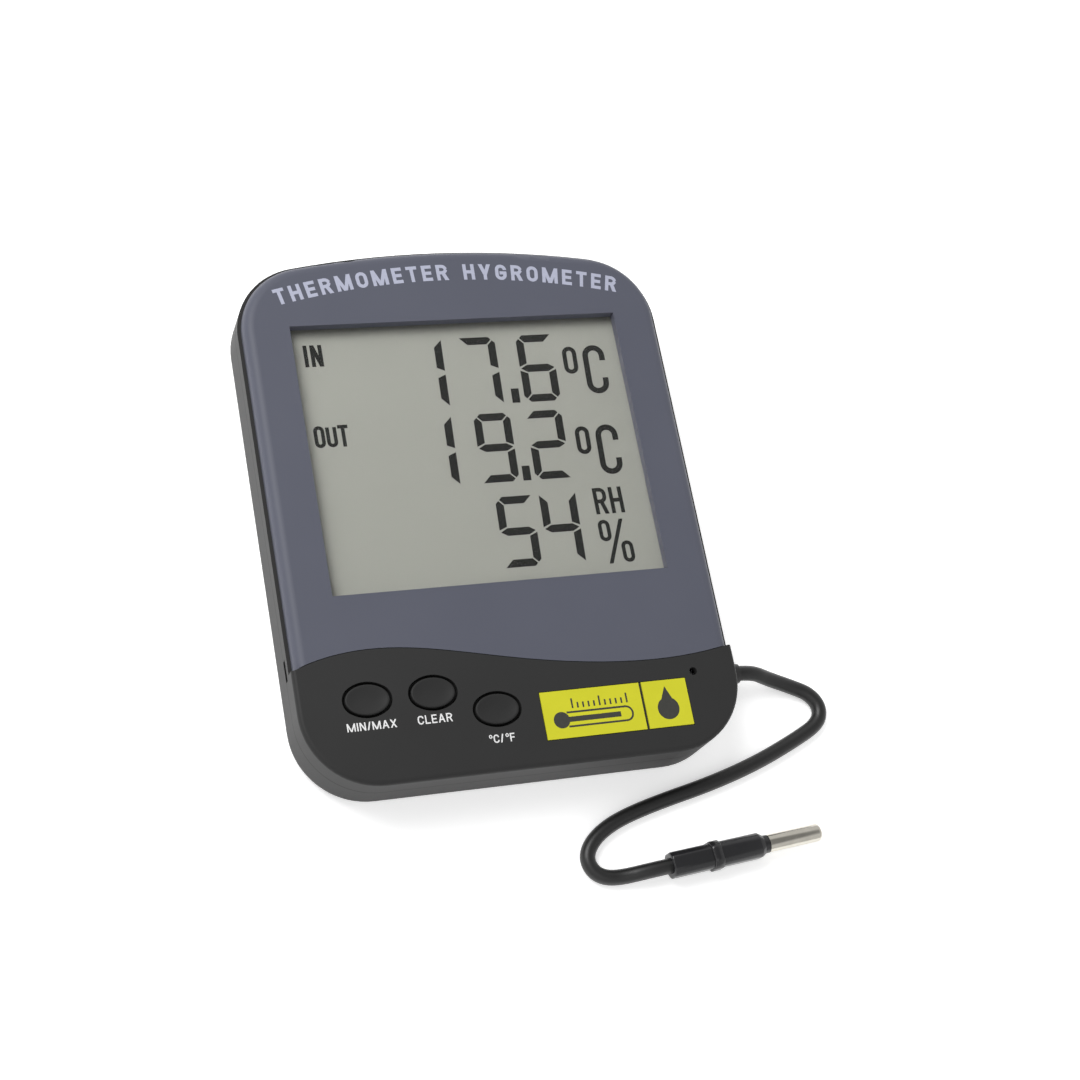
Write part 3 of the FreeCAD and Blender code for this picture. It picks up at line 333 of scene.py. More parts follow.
# the plating is a warm silver mirror, with faint drawing marks that haze it in patches
nickel, nickel_shader = surface("polished nickel plate", metallic=1.0)
drawn_marks = add(nickel, "ShaderNodeTexNoise", {"Vector": over(nickel, 2.0), "Scale": 1.0, "Detail": 5.0})
nickel_tone = add(nickel, "ShaderNodeValToRGB", {"Fac": drawn_marks.outputs["Fac"]}, ("#c2beb3", "#d6d2c8"))
join(nickel, nickel_tone.outputs["Color"], nickel_shader, "Base Color")
haze = add(nickel, "ShaderNodeMapRange", {"Value": drawn_marks.outputs["Fac"], "To Min": 0.08,
                                          "To Max": 0.18})
join(nickel, haze.outputs["Result"], nickel_shader, "Roughness")

tip_rows = [
    (boot_length - 0.05, tip_radius - 0.3),
    (boot_length, tip_radius - rim_bevel),
    (boot_length + 0.25, tip_radius),
]
for step in range(9):
    angle = math.radians(90 * step / 8)
    tip_rows.append((boot_length + tip_length - tip_rounding * (1 - math.sin(angle)),
                     tip_radius - tip_rounding * (1 - math.cos(angle))))
tip = loft("probe_cap", [probe_ring(along, radius, no_flat) for along, radius in tip_rows], nickel)
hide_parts("probe_tip")
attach(tip, "case")


# ---- front shell ---------------------------------------------------------------------------
# Injection moulded ABS, charcoal, with a fine spark eroded grain. Everything else is built into it
# face down: its lower part is the dark face with the keys, its upper part a ledge for the fascia.
flow_mark_size = 25.0
shell_dark = "#292929"
shell_light = "#2f2f2f"
parting_height = 10.75
parting_width = 0.32


def moulded_plastic(name, dark, light, roughness, grain, depth):
    """A moulded plastic with an eroded grain of the given size and depth in millimetres."""
    material, shader = surface(name, roughness=roughness, ior=1.53, specular_ior_level=0.16)
    pits = add(material, "ShaderNodeTexNoise", {"Vector": over(material, grain), "Scale": 1.0, "Detail": 2.0})
    flow = add(material, "ShaderNodeTexNoise", {"Vector": over(material, flow_mark_size), "Scale": 1.0,
                                                "Detail": 3.0})
    plastic_tone = add(material, "ShaderNodeValToRGB", {"Fac": flow.outputs["Fac"]}, (dark, light))
    join(material, plastic_tone.outputs["Color"], shader, "Base Color")
    grained = add(material, "ShaderNodeBump", {"Height": pits.outputs["Fac"], "Strength": 0.5,
                                               "Distance": depth * MM})
    join(material, grained.outputs["Normal"], shader, "Normal")
    return material


# the grain makes the black plastic dull and even. The real one is about a tenth of a millimetre, and
# it is drawn at 0.45 mm so that it shows. Where the two shells meet, the shadow in the fine groove
# that their eased edges leave is painted into the colour as a near black line.
shell_plastic = moulded_plastic("charcoal ABS, spark grain", shell_dark, shell_light, 0.50, 0.45, 0.02)
shell_shader = shell_plastic.node_tree.nodes["Principled BSDF"]
level = add(shell_plastic, "ShaderNodeSeparateXYZ", {0: over(shell_plastic, 1.0)}).outputs["Z"]
off_line = add(shell_plastic, "ShaderNodeMath", {0: level, 1: parting_height}, operation="SUBTRACT")
away = add(shell_plastic, "ShaderNodeMath", {0: off_line.outputs[0]}, operation="ABSOLUTE")
# painted shade: a near black band along the parting line stands for the shadow in the groove between the
# shells
groove_shade_fade = add(shell_plastic, "ShaderNodeMapRange", {"Value": away.outputs[0], "From Min": parting_width / 2,
                                                   "From Max": parting_width})
shell_tone = shell_shader.inputs["Base Color"].links[0].from_socket
# a Mix node has sockets for every kind of value: these are the places of the ones for colours
first_colour = 6
second_colour = 7
mixed_colour = 2
groove_shade = add(shell_plastic, "ShaderNodeMix", {"Factor": groove_shade_fade.outputs[0], first_colour: linear("#050505"),
                                             second_colour: shell_tone}, data_type="RGBA")
join(shell_plastic, groove_shade.outputs[mixed_colour], shell_shader, "Base Color")
finish_in(shell_plastic, "front_shell")


# ---- fascia --------------------------------------------------------------------------------
# A separate blue grey ABS moulding with a satin face, pegged onto the front shell's ledge. Its
# lower edge follows the dark face's wavy line.

# a light texture leaves the face satin, so the big flat area catches a slow sheen; like the shell's,
# its grain is drawn coarser than the real one
blue_grey = moulded_plastic("blue grey ABS, satin", "#50525d", "#565863", 0.42, 0.35, 0.008)
finish_in(blue_grey, "fascia")


# ---- window lens ---------------------------------------------------------------------------
# A flat pane of clear acrylic, cast and cut to size. It is held between the fascia and the display,
# and protects the glass of the cell.

# the figures show straight through it. Its mirror image is kept much weaker than real acrylic's, so
# that they stay clear, and wiping leaves its gloss barely uneven. Light on its way to the display
# goes straight through.
acrylic, acrylic_shader = surface("clear cast acrylic", roughness=0.03, ior=1.49, specular_ior_level=0.05,
                                  transmission_weight=1.0)
wipe = add(acrylic, "ShaderNodeTexNoise", {"Vector": over(acrylic, 9.0), "Scale": 1.0, "Detail": 3.0})
wiped = add(acrylic, "ShaderNodeMapRange", {"Value": wipe.outputs["Fac"], "To Min": 0.02, "To Max": 0.05})
join(acrylic, wiped.outputs["Result"], acrylic_shader, "Roughness")
clear = add(acrylic, "ShaderNodeBsdfTransparent")
shadow_ray = add(acrylic, "ShaderNodeLightPath").outputs["Is Shadow Ray"]
pane = add(acrylic, "ShaderNodeMixShader", {"Fac": shadow_ray, 1: acrylic_shader.outputs[0],
                                            2: clear.outputs[0]})
acrylic.node_tree.links.new(pane.outputs[0], acrylic.node_tree.nodes["Material Output"].inputs["Surface"])
finish_in(acrylic, "window_lens")


# ---- liquid crystal cell -------------------------------------------------------------------
# Two glasses with liquid crystal between them and a grey green polariser film on the front. It has
# no light of its own and shows its figures by daylight.

# the film is dull and even, and only tones a little from side to side
polariser, polariser_shader = surface("grey green polariser film", roughness=0.35, ior=1.5)
film = add(polariser, "ShaderNodeTexNoise", {"Vector": over(polariser, 40.0), "Scale": 1.0, "Detail": 2.0})
polariser_tone = add(polariser, "ShaderNodeValToRGB", {"Fac": film.outputs["Fac"]}, ("#92938b", "#989991"))
join(polariser, polariser_tone.outputs["Color"], polariser_shader, "Base Color")
finish_in(polariser, "lcd_panel")


# ---- display figures -----------------------------------------------------------------------
# The dark liquid crystal segments on the cell: three rows of seven segment figures, leaning a
# little to the right. The readings are two temperatures and a humidity.
figure_height = 16.1
figure_width = 8.3
segment = 1.75
segment_gap = 0.32
corner_cut = 1.5
slant = 0.035
# the gap between two mitred ends is measured square to the mitre
mitre_gap = segment_gap * 0.707
waist_outer = 0.45
waist_inner = 0.35
waist_reach = 0.25
point_width = 1.8
point_height = 3.4
print_thickness = 0.02 * MM
lit_segments = {"1": "bc", "2": "abged", "4": "fgbc", "5": "afgcd", "6": "afgecd", "7": "abc", "9": "gfabcd"}
# each row: how high it stands over the case's lower end, its figures with their left edges, and
# where its decimal point is
reading_rows = (
    (81.8, (("1", -12.1), ("7", 0.15), ("6", 13.3)), 10.4),
    (63.5, (("1", -13.0), ("9", 0.3), ("2", 12.2)), 9.45),
    (44.0, (("5", 1.7), ("4", 11.6)), None),
)


def mirrored(points, across, up):
    """The points of a segment, mirrored left to right and bottom to top as asked."""
    return [(figure_width - x if across else x, figure_height - y if up else y) for x, y in points]


def level_bar(left_joined, right_joined):
    """The bottom segment: a mitred bar, whose outer corners are cut where it meets a lit post."""
    low = (corner_cut + mitre_gap) / 2
    left = [(low, corner_cut - low), (corner_cut, 0)] if left_joined else [(mitre_gap, 0)]
    right = [(corner_cut, 0), (low, corner_cut - low)] if right_joined else [(mitre_gap, 0)]
    inner_left = [(segment + mitre_gap, segment)]
    inner_right = [(figure_width - segment - mitre_gap, segment)]
    return inner_left + left + [(figure_width - x, y) for x, y in right] + inner_right


def upright_post(joined):
    """The lower left segment: a mitred post, whose outer corner is cut where it meets a lit bar."""
    low = (corner_cut + mitre_gap) / 2
    foot = [(corner_cut - low, low), (0, corner_cut)] if joined else [(0, mitre_gap)]
    middle = figure_height / 2
    waist = [(0, middle - waist_outer), (segment, middle - segment / 2 - waist_inner)]
    return [(segment, segment + mitre_gap)] + foot + waist


def middle_bar():
    """The middle segment: a bar with a point at each end."""
    middle = figure_height / 2
    half = segment / 2
    far = figure_width - segment
    return [(waist_reach, middle), (segment, middle + half), (far, middle + half),
            (figure_width - waist_reach, middle), (far, middle - half), (segment, middle - half)]


def figure(character):
    """The lit segments of a seven segment figure, as outlines in millimetres."""
    lit = lit_segments[character]
    shapes = {
        "a": mirrored(level_bar("f" in lit, "b" in lit), False, True),
        "b": mirrored(upright_post("a" in lit), True, True),
        "c": mirrored(upright_post("d" in lit), True, False),
        "d": level_bar("e" in lit, "c" in lit),
        "e": upright_post("d" in lit),
        "f": mirrored(upright_post("a" in lit), False, True),
        "g": middle_bar(),
    }
    if character == "2":
        inner, outer = shapes["a"][:2]
        shapes["a"][:2] = [(outer[0], inner[1]), (inner[0], outer[1])]
    return [shapes[name] for name in lit]


def moved(outlines, x, y, lean=0.0, turn=0.0):
    """Outlines leant over, turned and moved to a place on the face."""
    cos = math.cos(turn)
    sin = math.sin(turn)
    result = []
    for outline in outlines:
        leant = [(u + lean * v, v) for u, v in outline]
        result.append([(x + u * cos - v * sin, y + u * sin + v * cos) for u, v in leant])
    return result


def covers(outline, spot):
    """Whether a point is inside an outline: a level line from it crosses it an odd number of times."""
    inside = False
    for a, b in zip(outline, outline[1:] + outline[:1]):
        if (a[1] > spot[1]) != (b[1] > spot[1]):
            if spot[0] < a[0] + (b[0] - a[0]) * (spot[1] - a[1]) / (b[1] - a[1]):
                inside = not inside
    return inside


def printed(name, glyphs, low, material):
    """A thin closed print of glyphs, which are lists of outlines in mm, joined where they overlap."""
    shape = bmesh.new()
    for outlines in glyphs:
        spots = []
        edges = []
        for outline in outlines:
            start = len(spots)
            spots += [Vector(p) for p in outline]
            edges += [(start + i, start + (i + 1) % len(outline)) for i in range(len(outline))]
        spots, _, faces, _, _, _ = geometry.delaunay_2d_cdt(spots, edges, [], 0, 1e-4, False)
        verts = [shape.verts.new((p.x * MM, p.y * MM, low)) for p in spots]
        for corners in faces:
            middle = sum((spots[i] for i in corners), Vector((0, 0))) / len(corners)
            if any(covers(outline, middle) for outline in outlines):
                shape.faces.new([verts[i] for i in corners])
    bmesh.ops.delete(shape, geom=[v for v in shape.verts if not v.link_faces], context="VERTS")
    bmesh.ops.dissolve_limit(shape, angle_limit=0.01, verts=shape.verts[:], edges=shape.edges[:])
    raised = bmesh.ops.extrude_face_region(shape, geom=shape.faces[:])["geom"]
    raised_verts = [v for v in raised if isinstance(v, bmesh.types.BMVert)]
    bmesh.ops.translate(shape, vec=(0, 0, print_thickness), verts=raised_verts)
    bmesh.ops.recalc_face_normals(shape, faces=shape.faces)
    mesh = bpy.data.meshes.new(name)
    shape.to_mesh(mesh)
    shape.free()
    mesh.materials.append(material)
    piece = bpy.data.objects.new(name, mesh)
    bpy.context.collection.objects.link(piece)
    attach(piece, "case")


# a lit segment lets no light back, so it is a warm black with hardly any shine of its own
crystal, crystal_shader = surface("dark liquid crystal", roughness=0.6, specular_ior_level=0.1)
twist = add(crystal, "ShaderNodeTexNoise", {"Vector": over(crystal, 4.0), "Scale": 1.0, "Detail": 1.0})
crystal_tone = add(crystal, "ShaderNodeValToRGB", {"Fac": twist.outputs["Fac"]}, ("#0c0c0a", "#12120f"))
join(crystal, crystal_tone.outputs["Color"], crystal_shader, "Base Color")

cell_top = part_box("lcd_panel")[1][2]
readings = []
for base, figures, point_x in reading_rows:
    y = case_base_y + base
    for character, x in figures:
        readings.append(moved(figure(character), x, y, slant))
    if point_x is not None:
        point = [(0, 0), (point_width, 0), (point_width, point_height), (0, point_height)]
        readings.append(moved([point], point_x, y, slant))
printed("display_figures", readings, cell_top, crystal)


# ---- display marks -------------------------------------------------------------------------
# The fixed marks beside the figures, in the same liquid crystal: IN, OUT, RH, % and degrees C.
# Each letter is made of strokes in a box one wide and one high, some straight and some that bend
# round at their corners, and is as wide as its last value says.
LETTERS = {
    "A": ([((0, 0), (0.5, 1)), ((1, 0), (0.5, 1)), ((0.2, 0.3), (0.8, 0.3))], [], 1.1),
    "C": ([], [((1, 0.7), (1, 1), (0, 1), (0, 0), (1, 0), (1, 0.3))], 1.0),
    "E": ([((0, 0), (0, 1)), ((0, 1), (1, 1)), ((0, 0.5), (0.9, 0.5)), ((0, 0), (1, 0))], [], 0.88),
    "F": ([((0, 0), (0, 1)), ((0, 1), (1, 1)), ((0, 0.5), (0.9, 0.5))], [], 0.85),
    "G": ([((0.55, 0.45), (1, 0.45))], [((1, 0.7), (1, 1), (0, 1), (0, 0), (1, 0), (1, 0.45))], 1.0),
    "H": ([((0, 0), (0, 1)), ((1, 0), (1, 1)), ((0, 0.5), (1, 0.5))], [], 1.0),
    "I": ([((0.5, 0), (0.5, 1))], [], 0.0),
    "L": ([((0, 0), (0, 1)), ((0, 0), (1, 0))], [], 0.85),
    "M": ([((0, 0), (0, 1)), ((1, 0), (1, 1)), ((0, 1), (0.5, 0)), ((1, 1), (0.5, 0))], [], 1.38),
    "N": ([((0, 0), (0, 1)), ((1, 0), (1, 1)), ((0, 1), (1, 0))], [], 1.0),
    "O": ([], [((0.5, 0), (1, 0), (1, 1), (0, 1), (0, 0), (0.5, 0))], 1.0),
    "R": ([((0, 0), (0, 1)), ((0.5, 0.48), (1, 0))], [((0, 1), (1, 1), (1, 0.48), (0, 0.48))], 1.0),
    "T": ([((0.5, 0), (0.5, 1)), ((0, 1), (1, 1))], [], 0.95),
    "U": ([], [((0, 1), (0, 0), (1, 0), (1, 1))], 1.0),
    "X": ([((0, 0), (1, 1)), ((0, 1), (1, 0))], [], 1.05),
    "Y": ([((0, 1), (0.5, 0.42)), ((1, 1), (0.5, 0.42)), ((0.5, 0), (0.5, 0.5))], [], 1.05),
    "/": ([((0, 0), (1, 1))], [], 0.6),
}
bend_steps = 6
bend_limit = 0.999    # a bend stops just short of the next corner, so that no two points coincide


def stroke(first, second, weight):
    """A straight stroke with ends cut level, or cut upright if the stroke itself is level."""
    (x0, y0), (x1, y1) = first, second
    half = weight / 2
    if abs(y1 - y0) < 1e-6:
        return [(x0 - half, y0 - half), (x1 + half, y0 - half),
                (x1 + half, y0 + half), (x0 - half, y0 + half)]
    if y0 > y1:
        x0, y0, x1, y1 = x1, y1, x0, y0
    wide = half * math.hypot(x1 - x0, y1 - y0) / (y1 - y0)
    return [(x0 - wide, y0 - half), (x0 + wide, y0 - half), (x1 + wide, y1 + half), (x1 - wide, y1 + half)]


def bend(corners, weight, radius):
    """A stroke that rounds its corners, as a chain of four sided outlines."""
    corners = [Vector(c) for c in corners]
    path = [corners[0]]
    for before, corner, after in zip(corners, corners[1:], corners[2:]):
        back = before - corner
        ahead = after - corner
        reach = min(radius, back.length * bend_limit, ahead.length * bend_limit)
        start = corner + back.normalized() * reach
        finish = corner + ahead.normalized() * reach
        centre = start + finish - corner
        for step in range(bend_steps + 1):
            angle = math.radians(90 * step / bend_steps)
            path.append(centre + (start - centre) * math.cos(angle) + (finish - centre) * math.sin(angle))
    path.append(corners[-1])
    path = [p for i, p in enumerate(path) if i == 0 or (p - path[i - 1]).length > 1e-5]
    sides = []
    for i in range(len(path)):
        ahead = path[min(i + 1, len(path) - 1)] - path[max(i - 1, 0)]
        if path[0] == path[-1] and i in (0, len(path) - 1):
            ahead = path[1] - path[-2]
        sides.append(Vector((-ahead.y, ahead.x)).normalized() * weight / 2)
    return [[p - s, q - t, q + t, p + s] for p, s, q, t in zip(path, sides, path[1:], sides[1:])]


def letter(character, height, width, weight):
    """A letter's outlines and how wide it came out, with its foot on the line y = 0."""
    straight, round_strokes, share = LETTERS[character]
    wide = max(width * share, weight)

    def inset(u, v):
        return (weight / 2 + u * (wide - weight), weight / 2 + v * (height - weight))

    outlines = [stroke(inset(*a), inset(*b), weight) for a, b in straight]
    for corners in round_strokes:
        outlines += bend([inset(*c) for c in corners], weight, (wide - weight) * 0.5)
    return outlines, wide


def word(text, height, width, weight, spacing, x, y, lean=0.0):
    """The glyphs of a line of letters that starts at a place on the face."""
    glyphs = []
    for character in text:
        outlines, wide = letter(character, height, width, weight)
        glyphs.append(moved(outlines, x, y, lean))
        x += wide + spacing
    return glyphs


def loop_mark(width, height, weight):
    """A closed loop with straight sides and round ends, as in a degree sign."""
    half = weight / 2
    box = ((width / 2, half), (width - half, half), (width - half, height - half), (half, height - half),
           (half, half), (width / 2, half))
    return bend(box, weight, width / 2 - half)


# each word: its letters, their height, width and weight, the space between them, its left end and foot
marks = word("IN", 5.1, 2.6, 0.86, 0.62, -34.0, case_base_y + 92.75)
marks += word("OUT", 5.0, 2.35, 0.80, 0.28, -34.6, case_base_y + 74.0)
marks += word("RH", 6.1, 3.0, 0.88, 0.65, 24.4, case_base_y + 54.5)
degree_rise = 5.1
for base, left in ((82.9, 24.0), (63.6, 23.2)):
    y = case_base_y + base
    marks.append(moved(loop_mark(3.3, 6.6, 1.0), left - 0.2, y + degree_rise, slant))
    marks += word("C", 11.8, 5.2, 1.32, 0, left + 4.3, y, slant)
percent_y = case_base_y + 43.1
percent_weight = 0.85
marks.append(moved(loop_mark(2.7, 4.95, percent_weight), 24.1, percent_y + 5.1))
marks.append(moved(loop_mark(2.7, 4.95, percent_weight), 28.5, percent_y))
marks.append(moved([stroke((0.9, 0.4), (5.0, 9.6), percent_weight)], 24.6, percent_y))
printed("display_marks", marks, cell_top, crystal)


# ---- title ---------------------------------------------------------------------------------
# Two plain words, pad printed in pale lilac grey ink on an arc along the crown of the fascia. Each
# letter stands square to the arc.
title = "THERMOMETER HYGROMETER"
title_height = 3.8
title_width = 2.6
title_weight = 0.78
title_gap = 0.98
word_space = 1.5
title_radius = 165.5
title_summit = 110.7

# pad printing lays the ink down thin and matt, a little thinner in places
lilac, lilac_shader = surface("pale lilac pad printing ink", roughness=0.5)
ink_body = add(lilac, "ShaderNodeTexNoise", {"Vector": over(lilac, 0.5), "Scale": 1.0, "Detail": 2.0})
lilac_tone = add(lilac, "ShaderNodeValToRGB", {"Fac": ink_body.outputs["Fac"]}, ("#9a9daf", "#a8abbd"))
join(lilac, lilac_tone.outputs["Color"], lilac_shader, "Base Color")

widths = []
for character in title:
    if character == " ":
        widths.append(word_space)
    else:
        widths.append(letter(character, title_height, title_width, title_weight)[1])
title_run = sum(widths) + title_gap * (len(title) - 1)
arc_centre_y = case_base_y + title_summit - title_radius
along = -title_run / 2
title_glyphs = []
for character, wide in zip(title, widths):
    if character != " ":
        angle = (along + wide / 2) / title_radius
        centred = moved(letter(character, title_height, title_width, title_weight)[0], -wide / 2, 0)
        title_glyphs.append(moved(centred, title_radius * math.sin(angle),
                                  arc_centre_y + title_radius * math.cos(angle), turn=-angle))
    along += wide + title_gap
fascia_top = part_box("fascia")[1][2]
printed("title_print", title_glyphs, fascia_top, lilac)


# ---- keys ----------------------------------------------------------------------------------
# Three oval key caps in the same charcoal ABS, dished for the finger, each with a flange that
# keeps it in its hole. They float on the switches' plungers and stand a little proud.
key_length = 9.2
key_width = 6.4
key_rounding = 0.3
key_dish = 0.32
key_dish_margin = 0.97
key_flange = 1.1
key_flange_bevel = 0.5
key_flange_thickness = 0.8
key_flange_depth = 1.9
key_names = ("min_max", "clear", "unit")
oval_points = 96
rounding_steps = 6
dish_steps = 9


def oval(centre, grow, height):
    """A ring on a key's outline, grown by a distance, at a height in millimetres."""
    ring = []
    for step in range(oval_points):
        angle = 2 * math.pi * step / oval_points
        ring.append(Vector((centre[0] + (key_length / 2 + grow) * math.cos(angle),
                            centre[1] + (key_width / 2 + grow) * math.sin(angle), height)) * MM)
    return ring


# a finer grain than the shell's, worn a little smooth, so the dish shades softly
key_plastic = moulded_plastic("charcoal ABS key cap", "#262626", "#2b2b2b", 0.50, 0.4, 0.01)
for name in key_names:
    low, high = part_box("button_" + name)
    centre = ((low[0] + high[0]) / 2 / MM, (low[1] + high[1]) / 2 / MM)
    top = high[2] / MM
    flange_top = fascia_top / MM - key_flange_depth
    flange_under = flange_top - key_flange_thickness
    key_rings = [
        oval(centre, key_flange - key_flange_bevel, flange_under),
        oval(centre, key_flange, flange_under),
        oval(centre, key_flange, flange_top),
        oval(centre, 0, flange_top),
        oval(centre, 0, top - key_rounding),
    ]
    for step in range(1, rounding_steps + 1):
        angle = math.radians(90 * step / rounding_steps)
        key_rings.append(oval(centre, -key_rounding * (1 - math.cos(angle)),
                              top - key_rounding * (1 - math.sin(angle))))
    for step in range(1, dish_steps):
        share = 1 - step / dish_steps
        inset = key_rounding + (key_width / 2 - key_rounding) * (1 - share)
        key_rings.append(oval(centre, -inset * key_dish_margin, top - key_dish * (1 - share ** 2)))
    cap = loft("key_cap_" + name, key_rings, key_plastic)
    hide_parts("button_" + name)
    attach(cap, "key_" + name)


# ---- captions ------------------------------------------------------------------------------
# What each key does, pad printed in white on the front shell under it: two plain captions in words
# and the two degree units.

# the ink is thin and matt, and a little thinner in places, so the small letters look soft
white_ink, white_ink_shader = surface("white pad printing ink", roughness=0.5)
white_body = add(white_ink, "ShaderNodeTexNoise", {"Vector": over(white_ink, 0.4), "Scale": 1.0,
                                                   "Detail": 2.0})
white_ink_tone = add(white_ink, "ShaderNodeValToRGB", {"Fac": white_body.outputs["Fac"]},
                     ("#d0d0d0", "#e4e4e4"))
join(white_ink, white_ink_tone.outputs["Color"], white_ink_shader, "Base Color")

caption_weight = 0.27
captions = word("MIN/MAX", 1.7, 1.25, caption_weight, 0.3, -38.1, case_base_y + 11.45)
captions += word("CLEAR", 1.8, 1.25, caption_weight, 0.3, -23.5, case_base_y + 11.45)
unit_y = case_base_y + 5.95
small_degree = loop_mark(0.7, 0.8, 0.2)
captions.append(moved(small_degree, -9.4, unit_y + 1.0))
captions += word("C/", 1.75, 1.2, caption_weight, 0.25, -8.5, unit_y)
captions.append(moved(small_degree, -5.9, unit_y + 1.0))
captions += word("F", 1.75, 1.2, caption_weight, 0.25, -5.0, unit_y)
face_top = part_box("front_shell")[1][2]
printed("key_captions", captions, face_top, white_ink)


# ---- label ---------------------------------------------------------------------------------
# Two thin yellow plates let into the face, screen printed in dark ink. The long one has a
# thermometer with its scale, the short one a drop of water.

# the film is smooth, so its yellow stays strong and a little glossy
yellow, yellow_shader = surface("yellow polyester film", roughness=0.32, ior=1.5)
film_depth = add(yellow, "ShaderNodeTexNoise", {"Vector": over(yellow, 6.0), "Scale": 1.0, "Detail": 2.0})
yellow_tone = add(yellow, "ShaderNodeValToRGB", {"Fac": film_depth.outputs["Fac"]}, ("#bebd20", "#c8c628"))
join(yellow, yellow_tone.outputs["Color"], yellow_shader, "Base Color")
finish_in(yellow, "label_plates")

# screen printing lays a thick even ink, near black and dull
dark_ink, dark_ink_shader = surface("dark screen printing ink", roughness=0.45)
dark_body = add(dark_ink, "ShaderNodeTexNoise", {"Vector": over(dark_ink, 0.6), "Scale": 1.0, "Detail": 2.0})
dark_ink_tone = add(dark_ink, "ShaderNodeValToRGB", {"Fac": dark_body.outputs["Fac"]}, ("#2c2c28", "#363632"))
join(dark_ink, dark_ink_tone.outputs["Color"], dark_ink_shader, "Base Color")

bulb_x = 6.6
bulb_radius = 1.75
tick_count = 11
tick_spacing = 1.2
tick_half = 0.18
drop_x = 30.25
drop_radius = 2.4
label_low, label_high = [Vector(corner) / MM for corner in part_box("label_plates")]
label_y = (label_low.y + label_high.y) / 2

bulb = []
for step in range(28):
    angle = 2 * math.pi * step / 28
    bulb.append((bulb_x + bulb_radius * math.cos(angle), label_y - 1.2 + bulb_radius * math.sin(angle)))
column = [(7.4, label_y - 1.75), (19.6, label_y - 1.75), (19.6, label_y - 0.65), (7.4, label_y - 0.65)]
tube = ((7.9, label_y + 0.3), (22.2, label_y + 0.3), (22.2, label_y - 2.7), (7.9, label_y - 2.7))
label_glyphs = [[bulb, column] + bend(tube, 0.4, 1.45)]
for tick in range(tick_count):
    x = 9.4 + tick * tick_spacing
    foot = label_y + 1.1
    head = foot + (2.1 if tick % 5 == 0 else 1.2)
    label_glyphs.append([[(x - tick_half, foot), (x + tick_half, foot), (x + tick_half, head),
                          (x - tick_half, head)]])
drop = [(drop_x, label_y + 3.7)]
for step in range(33):
    angle = math.radians(60 - 300 * step / 32)
    drop.append((drop_x + drop_radius * math.cos(angle), label_y - 1.1 + drop_radius * math.sin(angle)))
label_glyphs.append([drop])
printed("label_print", label_glyphs, label_high.z * MM, dark_ink)


# ---- display module ------------------------------------------------------------------------
# Behind the cell: a satin foil reflector, a white tray that holds it all, and the two pink
# silicone strips, striped with carbon, that carry the signals up from the board.

# rolled foil throws the light back without a sharp image
foil, foil_shader = surface("rolled satin foil", roughness=0.35, metallic=0.6)
rolled = add(foil, "ShaderNodeTexNoise", {"Vector": over(foil, 5.0), "Scale": 1.0, "Detail": 2.0})
foil_tone = add(foil, "ShaderNodeValToRGB", {"Fac": rolled.outputs["Fac"]}, ("#b8bab2", "#c8cac2"))
join(foil, foil_tone.outputs["Color"], foil_shader, "Base Color")
finish_in(foil, "lcd_reflector")

# white ABS, kept dull so that no glare reaches the display
tray_plastic = moulded_plastic("white ABS tray", "#d8d8d4", "#e0e0dc", 0.5, 0.5, 0.01)
finish_in(tray_plastic, "lcd_frame")

# pink rubber with fine black lines, dull as silicone is. A wave repeats every 0.314 of its unit, so
# the stripes are 0.16 mm apart, about as in a real strip.
stripe_unit = 0.5
zebra, zebra_shader = surface("striped silicone rubber", roughness=0.6)
stripes = add(zebra, "ShaderNodeTexWave", {"Vector": over(zebra, stripe_unit), "Scale": 1.0},
              bands_direction="X")
zebra_tone = add(zebra, "ShaderNodeValToRGB", {"Fac": stripes.outputs["Fac"]}, ("#c98a92", "#3a2a2c"))
join(zebra, zebra_tone.outputs["Color"], zebra_shader, "Base Color")
finish_in(zebra, "contact_strips")


# ---- circuit board -------------------------------------------------------------------------
# Glass epoxy board with copper tracks under green solder mask. Four small screws hold it to the
# front shell.

# the mask is glossy, and the tracks show through it as lighter ridges. Their rows are a quarter of
# the unit apart, which is 0.55 mm.
track_unit = 2.2
solder_mask, solder_mask_shader = surface("green solder mask on glass epoxy", roughness=0.3, ior=1.5)
tracks = add(solder_mask, "ShaderNodeTexBrick", {
    "Vector": over(solder_mask, track_unit), "Color1": linear("#1e5a34"), "Color2": linear("#1b5230"),
    "Mortar": linear("#2f7a4a"), "Scale": 1.0, "Mortar Size": 0.05})
join(solder_mask, tracks.outputs["Color"], solder_mask_shader, "Base Color")
ridge = add(solder_mask, "ShaderNodeBump", {"Height": tracks.outputs["Fac"], "Strength": 0.6,
                                            "Distance": 0.035 * MM})
join(solder_mask, ridge.outputs["Normal"], solder_mask_shader, "Normal")
finish_in(solder_mask, "circuit_board")


# ---- chip cover ----------------------------------------------------------------------------
# A drop of black epoxy, poured over the bonded chip to seal it. It levels itself as it cures, and it
# holds itself to the board.

# it has a smooth wet shine, with no grain
epoxy, epoxy_shader = surface("poured black epoxy", roughness=0.18, ior=1.55)
pour = add(epoxy, "ShaderNodeTexNoise", {"Vector": over(epoxy, 4.0), "Scale": 1.0, "Detail": 1.0})
epoxy_tone = add(epoxy, "ShaderNodeValToRGB", {"Fac": pour.outputs["Fac"]}, ("#0b0b0c", "#141416"))
join(epoxy, epoxy_tone.outputs["Color"], epoxy_shader, "Base Color")
finish_in(epoxy, "chip_cover")


# ---- board components and sensor -----------------------------------------------------------
# Tinned cans and resistors soldered to the board, and the humidity sensor's slotted white housing
# behind the small hole in the face.

